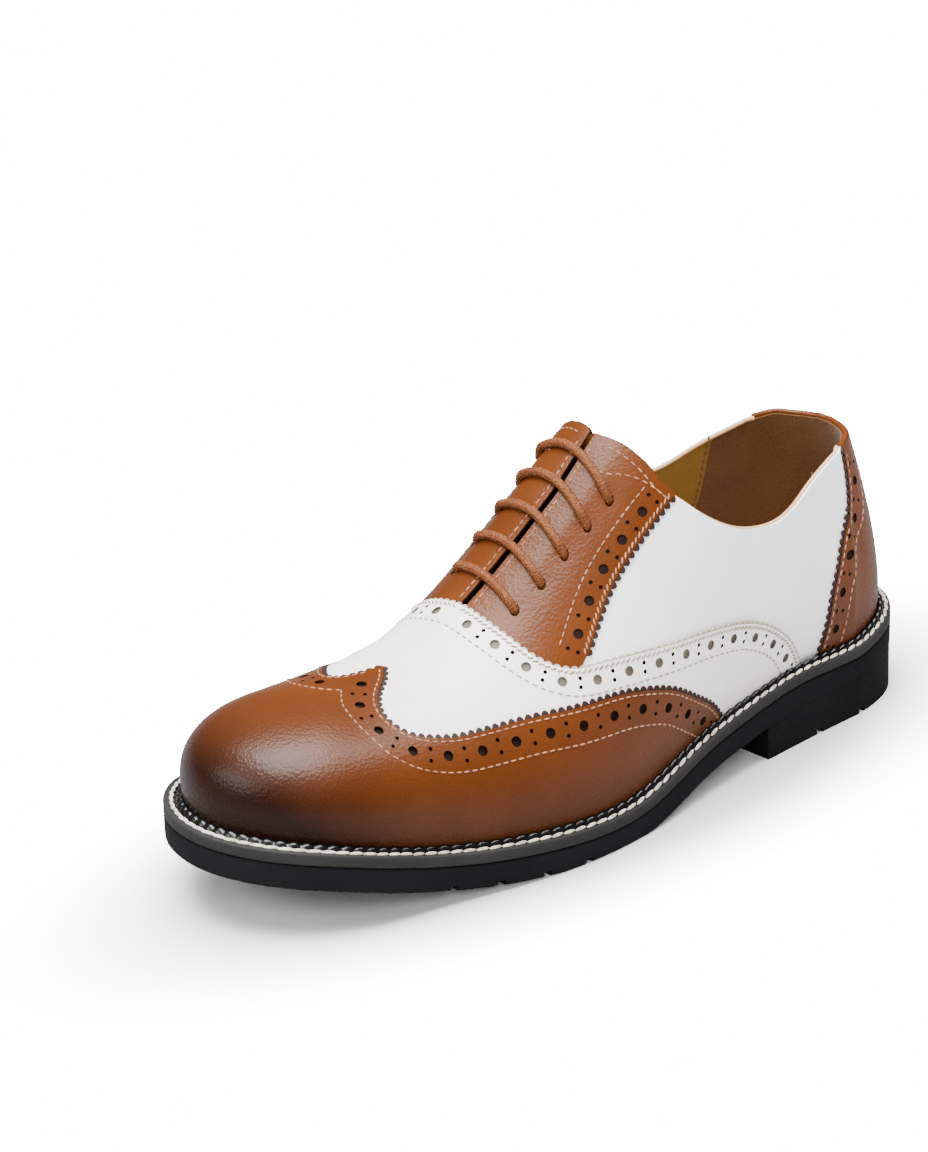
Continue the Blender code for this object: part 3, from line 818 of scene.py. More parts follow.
def seam(
    name,
    lines,
    level,
    thread,
    pitch=STITCH_PITCH,
    length=STITCH_LENGTH,
    width=STITCH_WIDTH,
    twist=0.0,
    inner=None,
):
    """Rows of stitches along lines of the outer side, and along their mirror images or others inside."""
    shape = bmesh.new()
    for side, rows in ((1.0, lines), (-1.0, inner or lines)):
        for line in rows:
            points, way = walk(line * (side, 1.0), pitch)[:2]
            points = (points[1:] + points[:-1]) / 2
            way = (way[1:] + way[:-1]) / 2
            centre, over, ahead = frame_on(*points.T, np.full(len(points), level + STITCH_LIFT))
            along = over * way[:, :1] + ahead * way[:, 1:]
            up = np.cross(ahead, over)
            up /= np.linalg.norm(up, axis=1)[:, None]
            for c, a, u in zip(centre, along, up):
                stitch(shape, c, a, u, length, width, twist * side)
    outward(shape)
    return finish_piece(name, shape, [thread])


def hole_row(line, distance, pair_spread, floor=4.0, skip=2.0, start=0, end=0, inner=None):
    """Big holes at an even pitch beside an edge, and a pair of small ones between each two."""
    holes = []
    for side, edge in ((1.0, line), (-1.0, line if inner is None else inner)):
        points, way, left = walk(beside(edge, distance, start, end), HOLE_PITCH / 2, 2)
        turn = np.array([side, 1.0])
        for k, (p, w, l) in enumerate(zip(points, way, left)):
            if p[0] < skip:
                continue
            if k % 2:
                holes.append((p * turn, w * turn, l * turn, BIG_HOLE, floor))
            else:
                for step in (pair_spread, -pair_spread):
                    holes.append(((p + l * step) * turn, w * turn, l * turn, SMALL_HOLE, floor))
    return holes


def eyelet_holes(side):
    """The eyelets of one facing, cut right through."""
    holes = []
    for x, y in EYELETS:
        skew = EYELET_SKEW if side < 0 else 0.0
        centre = np.array([[side * x, y + skew]]) * LAST_LENGTH
        over, ahead = frame_on(centre[:, 0], centre[:, 1], np.zeros(1))[1:]
        stretch = np.linalg.norm(over[0]), np.linalg.norm(ahead[0])
        holes.append((centre[0], (1 / stretch[0], 0), (0, 1 / stretch[1]), EYELET_WIDTH / 2, -3.0))
    return holes


def tone(red, green, blue):
    """A colour from its 0 to 255 values on a screen."""
    values = []
    for value in (red, green, blue):
        value /= 255
        values.append(value / 12.92 if value <= 0.04045 else ((value + 0.055) / 1.055) ** 2.4)
    return (*values, 1.0)


def group_of(name, given, put):
    """A node group with named sockets. Columns of given and put: name, kind, default value."""
    group = bpy.data.node_groups.new(name, "ShaderNodeTree")
    for side, rows in (("INPUT", given), ("OUTPUT", put)):
        for title, kind, value in rows:
            made = group.interface.new_socket(name=title, in_out=side, socket_type="NodeSocket" + kind)
            if value is not None:
                made.default_value = value
    return group, node(group, "NodeGroupInput"), node(group, "NodeGroupOutput")


def node(tree, kind, setting=None, **values):
    """A node of the tree, with one setting and its sockets' values. Underscores stand for spaces."""
    made = tree.nodes.new(kind)
    if setting:
        setattr(made, *setting)
    for title, value in values.items():
        made.inputs[title.replace("_", " ")].default_value = value
    return made


def wire(tree, *links):
    """Joins sockets of the tree. Each link holds a node and its output, then a node and its input."""
    for start, output, end, entry in links:
        tree.links.new(start.outputs[output], end.inputs[entry])


def leather_grain():
    """Fine pores and soft wrinkles of finished leather, as a height and a mask."""
    group, given, put = group_of(
        "leather grain",
        (
            ("Pore Scale", "Float", 900.0),
            ("Wrinkle Scale", "Float", 160.0),
            ("Wrinkle Share", "Float", 0.4),
            ("Cloud Scale", "Float", 24.0),
        ),
        (("Height", "Float", None), ("Cloud", "Float", None)),
    )
    place = node(group, "ShaderNodeTexCoord")
    pores = node(group, "ShaderNodeTexVoronoi")
    wrinkle = node(group, "ShaderNodeTexNoise", Detail=4.0, Distortion=0.6)
    cloud = node(group, "ShaderNodeTexNoise", Detail=3.0)
    share = node(group, "ShaderNodeMath", ("operation", "MULTIPLY"))
    total = node(group, "ShaderNodeMath", ("operation", "ADD"))
    for texture, scale in ((pores, "Pore Scale"), (wrinkle, "Wrinkle Scale"), (cloud, "Cloud Scale")):
        wire(group, (place, "Object", texture, "Vector"), (given, scale, texture, "Scale"))
    wire(
        group,
        (wrinkle, "Fac", share, 0),
        (given, "Wrinkle Share", share, 1),
        (pores, "Distance", total, 0),
        (share, 0, total, 1),
        (total, 0, put, "Height"),
        (cloud, "Fac", put, "Cloud"),
    )
    return group


def two_tone():
    """Blends two tones by a cloud and darkens them by a mask, for hand-burnished leather and for painted
    shade.
    """
    group, given, put = group_of(
        "burnished and shaded tone",
        (
            ("Tone", "Color", None),
            ("Second Tone", "Color", None),
            ("Dark Tone", "Color", None),
            ("Cloud", "Float", 0.5),
            ("Burnish And Shade", "Float", 0.0),
        ),
        (("Color", "Color", None),),
    )
    spread = node(group, "ShaderNodeMapRange", From_Min=0.35, From_Max=0.65)
    first = node(group, "ShaderNodeMix", ("data_type", "RGBA"))
    second = node(group, "ShaderNodeMix", ("data_type", "RGBA"))
    wire(
        group,
        (given, "Cloud", spread, "Value"),
        (spread, "Result", first, "Factor"),
        (given, "Tone", first, "A"),
        (given, "Second Tone", first, "B"),
        (given, "Burnish And Shade", second, "Factor"),
        (first, "Result", second, "A"),
        (given, "Dark Tone", second, "B"),
        (second, "Result", put, "Color"),
    )
    return group


GRAIN = leather_grain()
BURNISH_AND_SHADE = two_tone()


def material(name, **values):
    """A new material, its node tree and its shader, with values for the shader's sockets."""
    made = bpy.data.materials.new(name)
    made.use_nodes = True
    shader = made.node_tree.nodes["Principled BSDF"]
    for title, value in values.items():
        shader.inputs[title.replace("_", " ")].default_value = value
    return made, made.node_tree, shader


def surface(name, tones, roughness, grain, bump, sheen=0.0, specular=0.5, masked=False, cloud=24.0):
    """A leather, rubber or thread: two tones and a dark one, with grain of a given scale and depth."""
    matter, tree, shader = material(
        name, Roughness=roughness, Specular_IOR_Level=specular, Sheen_Weight=sheen, Sheen_Roughness=0.45
    )
    pores = node(tree, "ShaderNodeGroup", ("node_tree", GRAIN))
    for title, value in zip(("Pore Scale", "Wrinkle Scale", "Wrinkle Share", "Cloud Scale"), (*grain, cloud)):
        pores.inputs[title].default_value = value
    colour = node(tree, "ShaderNodeGroup", ("node_tree", BURNISH_AND_SHADE))
    for title, value in zip(("Tone", "Second Tone", "Dark Tone"), tones):
        colour.inputs[title].default_value = tone(*value)
    if masked:
        # The piece's mask of burnish and painted shade.
        mask = node(tree, "ShaderNodeAttribute", ("attribute_name", "burnish_and_shade"))
        wire(tree, (mask, "Fac", colour, "Burnish And Shade"))
    ruffle = node(tree, "ShaderNodeBump", Strength=1.0, Distance=bump * METRES)
    wire(
        tree,
        (pores, "Cloud", colour, "Cloud"),
        (colour, "Color", shader, "Base Color"),
        (pores, "Height", ruffle, "Height"),
        (ruffle, "Normal", shader, "Normal"),
    )
    return matter


FINE = (900.0, 120.0, 0.8)
SOFT = (1500.0, 300.0, 0.8)
# Its dark tone is burnish at the toe, and painted shade on the tongue under the slit.
brown = surface(
    "tan leather", ((88, 44, 15), (76, 36, 8), (22, 6, 3)), 0.34, FINE, 0.09, specular=0.2, masked=True
)
white = surface(
    "white leather", ((240, 240, 243), (234, 234, 238), (150, 145, 140)), 0.42, FINE, 0.04, masked=True
)
cream = surface(
    "cream leather", ((236, 234, 228), (228, 226, 219), (150, 145, 140)), 0.42, FINE, 0.04, masked=True
)
# Cut edges and teeth strips: the cut leather's own dark brown, with painted shade beneath the panels' edges.
dark_edge_with_shade = surface(
    "dark pinked edge with painted shade", ((48, 27, 24), (36, 20, 18), (16, 9, 8)), 0.6, SOFT, 0.05, specular=0.25
)
# The pale band's cut edges and teeth: white leather painted grey as shade.
shaded_cream_edge = surface("cream pinked edge in painted shade", ((165, 158, 145), (140, 133, 120), (80, 75, 70)), 0.7, SOFT, 0.05)
brown_hole = surface(
    "shadowed brown hole", ((30, 18, 15), (24, 14, 11), (8, 6, 5)), 0.8, SOFT, 0.05, specular=0.1
)
# The band's big holes: a grey-beige as of backing under them, darkened as painted shade in the hole.
grey_hole_with_shade = surface("grey hole with painted shade", ((104, 96, 82), (76, 68, 58), (60, 55, 50)), 0.8, SOFT, 0.05)
suede = surface(
    "brown suede", ((96, 64, 36), (82, 52, 27), (50, 32, 18)), 0.95, SOFT, 0.15, sheen=0.15, specular=0.1
)
ochre = surface("ochre lining", ((124, 92, 44), (108, 78, 34), (66, 42, 16)), 0.55, FINE, 0.05, specular=0.25)
pale_rim = surface("pale rim", ((196, 158, 122), (180, 140, 104), (110, 80, 60)), 0.6, SOFT, 0.05)
sock = surface("sock leather", ((176, 134, 74), (162, 120, 62), (90, 60, 30)), 0.6, FINE, 0.05)
beige_thread = surface(
    "beige thread", ((168, 122, 96), (126, 84, 62), (120, 90, 70)), 0.75, SOFT, 0.1, cloud=300.0
)
grey_thread = surface(
    "grey beige thread", ((150, 140, 118), (108, 98, 78), (120, 110, 90)), 0.75, SOFT, 0.1, cloud=300.0
)
dark_thread = surface("dark thread", ((96, 62, 46), (78, 48, 36), (40, 30, 20)), 0.75, SOFT, 0.1)
welt_thread = surface(
    "off-white thread", ((222, 216, 200), (170, 160, 140), (120, 110, 90)), 0.7, SOFT, 0.12, cloud=260.0
)
bead_black = surface("glossy black bead", ((5, 5, 6), (9, 9, 10), (3, 3, 3)), 0.25, SOFT, 0.02, specular=0.45)
welt_grey = surface(
    "dark grey welt", ((43, 43, 42), (35, 35, 34), (20, 20, 20)), 0.6, (700.0, 90.0, 1.5), 0.06, specular=0.12
)
rubber = surface(
    "black rubber", ((11, 13, 14), (16, 18, 19), (5, 5, 5)), 0.65, (1100.0, 110.0, 1.2), 0.06, specular=0.08
)
waxed = surface(
    "waxed cord",
    ((116, 66, 33), (76, 38, 15), (40, 20, 8)),
    0.55,
    (1700.0, 500.0, 0.6),
    0.3,
    specular=0.2,
    cloud=1500.0,
)


# Panels of the upper
def toe_burnish(across, along):
    """Dark at the toe and along the welt, lighter on top."""
    run, up = run_of(across, along)
    up = np.clip(up, 0, 1)
    round_toe = np.minimum(run, 6 - run)
    toe = 1.15 * np.exp(-((round_toe / 0.85) ** 2)) * np.exp(-((up / 0.6) ** 2))
    low = np.exp(-up / 0.12) * 0.25
    return np.clip(toe + low, 0, 0.95)


def darker_towards_bottom(across, along):
    """A little darker towards the bottom edge."""
    up = np.clip(run_of(across, along)[1], 0, 1)
    return np.clip(np.exp(-up / 0.06) * 0.35, 0, 0.9)


BROWN_LEATHER = [brown, dark_edge_with_shade, brown_hole]
wing_line = smooth(WING_LINE)
wing_inner = smooth(WING_INNER)
wing_sides = (wing_line, wing_inner)
band_line = smooth(BAND_LINE)
counter_line = smooth(COUNTER_LINE)
facing_rear = smooth(FACING_REAR)
facing_top = smooth(FACING_TOP)
collar = smooth(TOPLINE)


def opening_outline(wider=0.0):
    """The throat and the collar as one outline. The throat may be wider, where a facing covers it."""
    throat = np.array(((0.0, THROAT[0][1]), (THROAT[1][0] + wider, THROAT[1][1]))) * LAST_LENGTH
    top = facing_top[facing_top[:, 0] > throat[1, 0]]
    side = np.concatenate([throat, [(throat[1, 0], top[0, 1])], top, collar[1:]])
    return np.concatenate([side, mirrored(side)[1:-1]])


THROAT_WIDER = 0.02
EVERY_EYELET = eyelet_holes(1) + eyelet_holes(-1)
quarter = panel(
    "quarter",
    [("DIFFERENCE", opening_outline(THROAT_WIDER))],
    EVERY_EYELET,
    -QUARTER_SKIN,
    0.0,
    [white, white, brown_hole],
    darker_towards_bottom,
)
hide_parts("upper")

# Lining: ochre in front, suede behind a seam on each side
LINING_SEAM = (
    (0.19, 0.150),
    (0.2125, 0.155),
    (0.2325, 0.160),
    (0.2525, 0.165),
    (0.2675, 0.175),
    (0.36, 0.200),
)
lining_seam = smooth(LINING_SEAM, 2.0)
behind = np.array(((0.5, 0.20), (0.5, -0.5))) * LAST_LENGTH
heel_part = np.concatenate([lining_seam, behind])
heel_part = np.concatenate([heel_part, mirrored(heel_part)])
lining_front = panel(
    "front_lining",
    [("DIFFERENCE", opening_outline(THROAT_WIDER)), ("DIFFERENCE", heel_part)],
    EVERY_EYELET,
    -WALL,
    LINING_TOP,
    [ochre, dark_edge_with_shade, brown_hole],
)
lining_heel = panel(
    "heel_lining",
    [("DIFFERENCE", opening_outline()), ("INTERSECT", heel_part)],
    [],
    -WALL,
    LINING_TOP,
    [suede, suede, suede],
)
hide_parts("upper")
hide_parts("upper")
seam("lining_stitches", [lining_seam[1:-8] + (0.0, 1.6)], -WALL - 0.12, dark_thread, width=0.7)


def edge_strip(name, line, side, depth, level, finish, inner_side=None):
    """The gimped edge itself: a narrow strip of teeth whose cut leather shows below the panel's face. Its
    finish adds painted shade there: over the cut edge's own dark on brown panels, and as the whole grey on
    the pale band.
    It runs over the ridge where the inner side's line is given, and otherwise lies once on each side."""

    def outline(edge):
        points, way, left = walk(edge, 1.0)
        inside = points + left * STRIP_REACH * side
        return gimped(edge, depth=-depth * side), inside

    teeth, inside = outline(line)
    if inner_side is None:
        outer = np.concatenate([teeth, inside[::-1]])
        strips = ((name + "_lateral", outer), (name + "_medial", mirrored(outer)))
    else:
        inner_teeth, inner_inside = outline(inner_side)
        inside = inside[inside[:, 0] > STRIP_CLEAR]
        inner_inside = inner_inside[inner_inside[:, 0] > STRIP_CLEAR]
        middle = [[0.0, inside[0, 1]]]
        back = both_sides(np.concatenate([middle, inside]), np.concatenate([middle, inner_inside]))[::-1]
        strips = ((name, np.concatenate([both_sides(teeth, inner_teeth), back])),)
    for piece, shape in strips:
        panel(piece, [("INTERSECT", shape)], [], UNDER_PANEL, level, [finish, finish, finish])


# Wing cap
beyond_toe = np.array(((0.5, 0.30), (0.5, 1.4), (-0.5, 1.4), (-0.5, 0.30))) * LAST_LENGTH
wing_edges = [gimped(edge, depth=-FACE_TOOTH) for edge in wing_sides]
wing_outline = np.concatenate([both_sides(*wing_edges), beyond_toe])
wing = panel(
    "wing_cap_leather",
    [("INTERSECT", wing_outline)],
    hole_row(wing_line, WING_HOLES, WING_PAIR, inner=wing_inner),
    UNDER_PANEL,
    WING_TOP,
    BROWN_LEATHER,
    toe_burnish,
)
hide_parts("wing_cap")
edge_strip("wing_teeth", wing_line, 1, TOOTH_DEPTH, WING_TEETH_TOP, dark_edge_with_shade, wing_inner)
far_rows = meeting(*[beside(edge, WING_SEAM, ridge=-WING_SEAM) for edge in wing_sides])
wing_rows = [[beside(edge, EDGE_SEAM), row] for edge, row in zip(wing_sides, far_rows)]
seam("wing_stitches", wing_rows[0], WING_TOP, beige_thread, inner=wing_rows[1])

# Vamp with its pale band. Its front lies under the wing, this far from the wing's edge
VAMP_OVERLAP = 0.009 * LAST_LENGTH
vamp_front = both_sides(*[edge + (0.0, VAMP_OVERLAP) for edge in wing_sides])
vamp_back = both_sides(gimped(band_line, depth=-FACE_TOOTH))[::-1]
vamp = panel(
    "vamp_leather",
    [("INTERSECT", np.concatenate([vamp_front, vamp_back]))],
    hole_row(band_line, BAND_HOLES, BAND_PAIR, end=3),
    UNDER_PANEL,
    VAMP_TOP,
    [cream, shaded_cream_edge, grey_hole_with_shade],
    darker_towards_bottom,
)
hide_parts("vamp")
edge_strip("band_teeth", band_line, 1, BAND_TOOTH, BAND_TEETH_TOP, shaded_cream_edge, band_line)
seam("band_rope", [beside(band_line, EDGE_SEAM)], VAMP_TOP, grey_thread, ROPE_PITCH, 2.4, 0.75, ROPE_TWIST)
seam("band_stitches", [beside(band_line, BAND_SEAM)], VAMP_TOP, grey_thread)

# Facings. Their lower ends lie under the vamp's band
FACING_OVERLAP = 0.005 * LAST_LENGTH
FACING_START = 0.012 * LAST_LENGTH
FACING_END = 0.185 * LAST_LENGTH
front_edge = 0.0052 * LAST_LENGTH
facing_bottom = band_line + (0.0, FACING_OVERLAP)
facing_bottom = facing_bottom[(facing_bottom[:, 0] > FACING_START) & (facing_bottom[:, 0] < FACING_END)]
corners = np.array([[front_edge, facing_bottom[0, 1]], [front_edge, facing_top[0, 1] - 0.4]])
top_edge = facing_top[facing_top[:, 0] > front_edge + 1.5] - (0.0, 0.5)
rear_edge = gimped(facing_rear, depth=-FACE_TOOTH)
facing_outline = np.concatenate([corners, top_edge, rear_edge[1:], facing_bottom[::-1]])
facing_holes = hole_row(facing_rear, FACING_HOLES, PANEL_PAIR, start=6)
for name, side in (("facing_lateral", 1), ("facing_medial", -1)):
    outline = facing_outline if side > 0 else mirrored(facing_outline)
    holes = [h for h in facing_holes if h[0][0] * side > 0] + eyelet_holes(side)
    leather = panel(
        name + "_leather",
        [("INTERSECT", outline)],
        holes,
        UNDER_PANEL,
        PANEL_TOP,
        BROWN_LEATHER,
        darker_towards_bottom,
    )
    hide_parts(name)
edge_strip("facing_teeth", facing_rear, 1, TOOTH_DEPTH, PANEL_TEETH_TOP, dark_edge_with_shade)
seam_place = front_edge + FRONT_SEAM
front_seam = np.array([[seam_place, facing_top[0, 1] + 3.0], [seam_place, 0.630 * LAST_LENGTH]])
CURVED_SEAM = ((0.05, 0.466), (0.062, 0.464), (0.088, 0.448), (0.116, 0.430), (0.140, 0.417))
rope_rows = [beside(facing_rear, EDGE_SEAM, 1)]
seam("facing_rope", rope_rows, PANEL_TOP, beige_thread, ROPE_PITCH, 2.3, 0.64, ROPE_TWIST)
facing_rows = [
    beside(facing_rear, FACING_SEAM, 4),
    front_seam,
    beside(facing_top, TOP_SEAM, 3, 1),
    smooth(CURVED_SEAM),
]
seam("facing_stitches", facing_rows, PANEL_TOP, beige_thread)

# Heel counter
beyond_heel = np.array(((0.5, 0.16), (0.5, -0.5))) * LAST_LENGTH
collar_back = collar[collar[:, 1] < counter_line[0, 1] - 1.0]
counter_side = np.concatenate([collar_back[::-1], gimped(counter_line, depth=FACE_TOOTH), beyond_heel])
counter_outline = np.concatenate([counter_side, mirrored(counter_side)[:-1]])
counter = panel(
    "heel_counter_leather",
    [("INTERSECT", counter_outline)],
    hole_row(counter_line, -COUNTER_HOLES, PANEL_PAIR, start=5, end=2),
    UNDER_PANEL,
    PANEL_TOP,
    BROWN_LEATHER,
    darker_towards_bottom,
)
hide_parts("heel_counter")
edge_strip("counter_teeth", counter_line, -1, TOOTH_DEPTH, PANEL_TEETH_TOP, dark_edge_with_shade)
counter_rows = [beside(counter_line, -distance, 2) for distance in (EDGE_SEAM, COUNTER_SEAM)]
seam("counter_stitches", counter_rows, PANEL_TOP, beige_thread)


# Tongue
def tongue_shade(across, along):
    """Dark where the slit's shade lies on it, and lighter on top."""
    return np.where(along > FACING_TOP[0][1] * LAST_LENGTH + 4, 0.95, 0.2)


tongue_side = np.array(((0.075, 0.436), (0.082, 0.56), (0.078, 0.668))) * LAST_LENGTH
TONGUE_TOP = -WALL - LACE_WIDTH - LACE_SPACE
tongue = panel(
    "tongue_leather",
    [("INTERSECT", np.concatenate([tongue_side, mirrored(tongue_side)]))],
    [],
    TONGUE_TOP - TONGUE_SKIN,
    TONGUE_TOP,
    BROWN_LEATHER,
    tongue_shade,
)
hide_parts("tongue")


# Rims: a thin pale edge along the collar, brown at the heel and on top of the facings
def rim(name, line, off, width, finish):
    """A rolled edge along a pattern line."""
    place = on_leather(line[:, 0], line[:, 1], np.full(len(line), off))
    finish_piece(name, cord(evenly(place, 1.2), width, 12), [finish])


corner = counter_line[0, 1]
front_rim = collar[collar[:, 1] > corner - 1.0]
heel_rim = collar[collar[:, 1] < corner + 1.0]
rim("collar_rim_lateral", front_rim, -1.5, 1.5, pale_rim)
rim("collar_rim_medial", mirrored(front_rim), -1.5, 1.5, pale_rim)
rim("heel_rim", both_sides(heel_rim[::-1]), -0.4, 2.3, brown)
rim("facing_rim_lateral", facing_top[1:], -0.5, 2.6, brown)
rim("facing_rim_medial", mirrored(facing_top[1:]), -0.5, 2.6, brown)

# Lace: one cord through the eyelets, with its ends hidden below the top pair
lace_level = PANEL_TOP + LACE_WIDTH / 2 - 0.2
leg_level = -WALL - LACE_WIDTH / 2 - 0.2
BAR_SHARES = (0.99, 0.93, 0.82, 0.65, 0.35, 0.0, -0.35, -0.65, -0.82, -0.93, -0.99)
BAR_FALL = 2.4


def lace_path():
    """Points of the lace as across, along and level, bar by bar from the top pair down."""
    holes = np.array(EYELETS) * LAST_LENGTH
    skew = EYELET_SKEW * LAST_LENGTH
    path = []
    side = -1
    for index, (across, along) in enumerate(holes):
        start = along + (skew if side < 0 else 0.0)
        stop = along + (skew if side > 0 else 0.0)
        path.append((side * across, start, leg_level + 0.3))
        path.append((side * across, start, -0.6))
        for share in BAR_SHARES:
            lift = lace_level - BAR_FALL * np.clip((abs(share) - 0.8) / 0.2, 0, 1) ** 1.5
            path.append((side * across * share, start + (stop - start) * ((1 - share) / 2), lift))
        side = -side
        path.append((side * across, stop, -0.6))
        path.append((side * across, stop, leg_level + 0.3))
        if index + 1 < len(holes):
            below = holes[index + 1]
            far = below[1] + (skew if side < 0 else 0.0)
            for share in (0.3, 0.7):
                leg_across = across + (below[0] - across) * share
                path.append((side * leg_across, stop + (far - stop) * share, leg_level))
    last = holes[-1]
    for share in (0.15, 0.5, 0.9):
        path.append((side * (last[0] - 5.0), last[1] + (holes[0][1] - last[1]) * share, leg_level - 0.1))
    return np.array(path)


lace_route = evenly(evenly(on_leather(*lace_path().T), 2.0), 0.42)
lace = finish_piece("lace", cord(lace_route, LACE_WIDTH, 20, 0.22), [waxed], crease=3.0)
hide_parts("lace_bar_1", "lace_bar_2", "lace_bar_3", "lace_bar_4", "lace_bar_5")


# Bottom: rays for pieces that meet on the spine, and even runs for the welt
def spine_runs(toe, side, heel):
    """The run's places round the shoe, the same on both sides."""
    outer = np.concatenate([np.arange(toe) / toe, 1 + np.arange(side) / side, 2 + np.arange(heel + 1) / heel])
    return np.concatenate([outer, 6 - outer[-2:0:-1]])


def even_runs(pitch):
    """Places that lie evenly along the welt's outline."""
    run = np.linspace(0, 6, 2401)
    base, across, ahead = ray_base(run)
    reach = BALL_WIDTH * edge_width(run) + WELT_MARGIN * margin_share(run)
    place = in_frame(base, across * reach, ahead * reach, np.zeros(len(run)))
    far = lengths_along(place)
    count = round(far[-1] / pitch)
    return np.interp(np.arange(count) * far[-1] / count, far, run)


class Rays:
    """Reaches and heights of the bottom's edges at places on the run."""

    def __init__(self, run):
        self.base, self.across, self.ahead = ray_base(run)
        self.edge = BALL_WIDTH * edge_width(run)
        self.outline = self.edge + WELT_MARGIN * margin_share(run)
        self.inner = self.edge - WELT_INSIDE

    def top(self, reach):
        return welt_top(self.base + self.ahead * reach)

    def ring(self, reach, height):
        reach = reach + np.zeros(len(self.base))
        return in_frame(self.base, self.across * reach, self.ahead * reach, height + np.zeros(len(self.base)))


# Welt: a strip with a stitch groove and a wheeled bead
BEAD_PITCH = 4.8
STEPS_PER_BEAD = 10
ring = Rays(even_runs(BEAD_PITCH / STEPS_PER_BEAD))
count = len(ring.base)
beads = round(count / STEPS_PER_BEAD)
wheel = np.abs(np.sin(math.pi * np.arange(count) * beads / count))
margin = ring.outline - ring.edge
t_outline = ring.top(ring.outline)
bead_middle = ring.edge + 0.28 * margin + 0.5
bead_half = 0.16 * margin + 0.2 + 0.25 * wheel
t_bead = ring.top(bead_middle)
bead_height = 1.2 + 0.7 * wheel
channel_in = ring.edge + 0.50 * margin + 0.8
channel_out = ring.edge + 0.70 * margin + 0.4
rings = [
    ring.ring(ring.inner, ring.top(ring.inner) - WELT_THICKNESS),
    ring.ring(ring.outline - 0.5, t_outline - WELT_THICKNESS),
    ring.ring(ring.outline, t_outline - WELT_THICKNESS + 0.5),
    ring.ring(ring.outline, t_outline - 0.6),
    ring.ring(ring.outline - 0.2, t_outline - 0.15),
    ring.ring(ring.outline - 0.6, t_outline),
    ring.ring(channel_out + 0.3, ring.top(channel_out) + 0.02),
    ring.ring(channel_out, ring.top(channel_out) - 0.3),
    ring.ring(channel_in, ring.top(channel_in) - 0.3),
]
slots = [1, 1, 1, 1, 1, 1, 0, 0]
for turn in np.linspace(0.1, 0.95, 7) * math.pi:
    rings.append(ring.ring(bead_middle + bead_half * math.cos(turn), t_bead + bead_height * math.sin(turn)))
    slots.append(0)
rings.append(ring.ring(bead_middle - bead_half, t_bead))
rings.append(ring.ring(ring.inner, ring.top(ring.inner)))
rings.append(rings[0])
slots += [0, 0, 0]
welt = finish_piece("welt_rubber", lofted(rings, slots, closed=True), [bead_black, welt_grey], crease=1.2)
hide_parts("welt")

WELT_STITCH = 4.8
shape = bmesh.new()
seat = Rays(even_runs(WELT_STITCH))
seat_margin = seat.outline - seat.edge
seat_reach = seat.edge + 0.68 * seat_margin + 0.2
places = seat.ring(seat_reach, seat.top(seat_reach) + 0.15)
ways = np.roll(places, -1, axis=0) - np.roll(places, 1, axis=0)
for index, (place, way) in enumerate(zip(places, ways)):
    slant = 0.17 + 0.05 * math.sin(2.3 * index)
    stitch(shape, place, way, np.array((0.0, 0.0, 1.0)), WELT_STITCH * 1.1, 1.3, slant)
outward(shape)
finish_piece("welt_stitches", shape, [welt_thread])

# Rubber sole with its heel and tread grooves
rays = Rays(spine_runs(22, 60, 18))
zero = np.zeros(len(rays.base))
step_reach = rays.inner - FIT_SPACE
middle_reach = 0.6 * step_reach


def sole_top(reach):
    return rays.top(reach) - WELT_THICKNESS - FIT_SPACE


def sole_bottom(reach):
    return np.maximum(sole_top(reach) - SOLE_THICKNESS, 0)


rings = []
for reach in (zero, middle_reach, step_reach, rays.outline - 0.7):
    rings.append(rays.ring(reach, sole_bottom(reach)))
rings.append(rays.ring(rays.outline - 0.1, sole_bottom(rays.outline) + 0.6))
rings.append(rays.ring(rays.outline, sole_top(rays.outline) - 0.7))
rings.append(rays.ring(rays.outline - 0.4, sole_top(rays.outline)))
for reach in (step_reach, middle_reach, zero):
    rings.append(rays.ring(reach, sole_top(reach)))
sole = loose_object("sole blank", lofted(rings), 1)
heel_run = np.linspace(0, 6, 241)[:-1]
heel_rays = Rays(heel_run)
heel_ring = heel_rays.ring(heel_rays.outline - HEEL_INSET, 0.0)[:, :2]
breast_y = FRAME_MIDDLE - BREAST
heel_ring = np.array([p for p in heel_ring if p[1] > breast_y])
breast_ends = [[[heel_ring[:, 0].max(), breast_y]], [[heel_ring[:, 0].min(), breast_y]]]
heel_ring = np.concatenate([breast_ends[0], heel_ring, breast_ends[1]])
turn = np.arctan2(heel_ring[:, 1] - FRAME_MIDDLE + HEEL_CENTRE, heel_ring[:, 0])
heel_ring = heel_ring[np.argsort(turn)]
sole = cut(sole, "UNION", prism(heel_ring, 0, float(welt_top(BREAST)) - WELT_THICKNESS - HEEL_JOINT, 0))
GROOVES = (0.10, 0.18, 0.62, 0.68, 0.74, 0.80)
for share in GROOVES:
    y = FRAME_MIDDLE - share * LAST_LENGTH
    low = float(welt_top(share * LAST_LENGTH)) - WELT_THICKNESS - FIT_SPACE - SOLE_THICKNESS
    low = max(low, 0) if share * LAST_LENGTH > BREAST else 0.0
    half = GROOVE_WIDTH / 2
    bar = [(-BALL_WIDTH, y - half), (BALL_WIDTH, y - half), (BALL_WIDTH, y + half), (-BALL_WIDTH, y + half)]
    sole = cut(sole, "DIFFERENCE", prism(bar, -8.0, low + GROOVE_DEPTH, 0))
shape = bmesh.new()
shape.from_mesh(sole.data)
bpy.data.objects.remove(sole)
bmesh.ops.dissolve_degenerate(shape, edges=shape.edges, dist=0.01)
outsole = finish_piece("sole_rubber", shape, [rubber])
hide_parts("outsole")

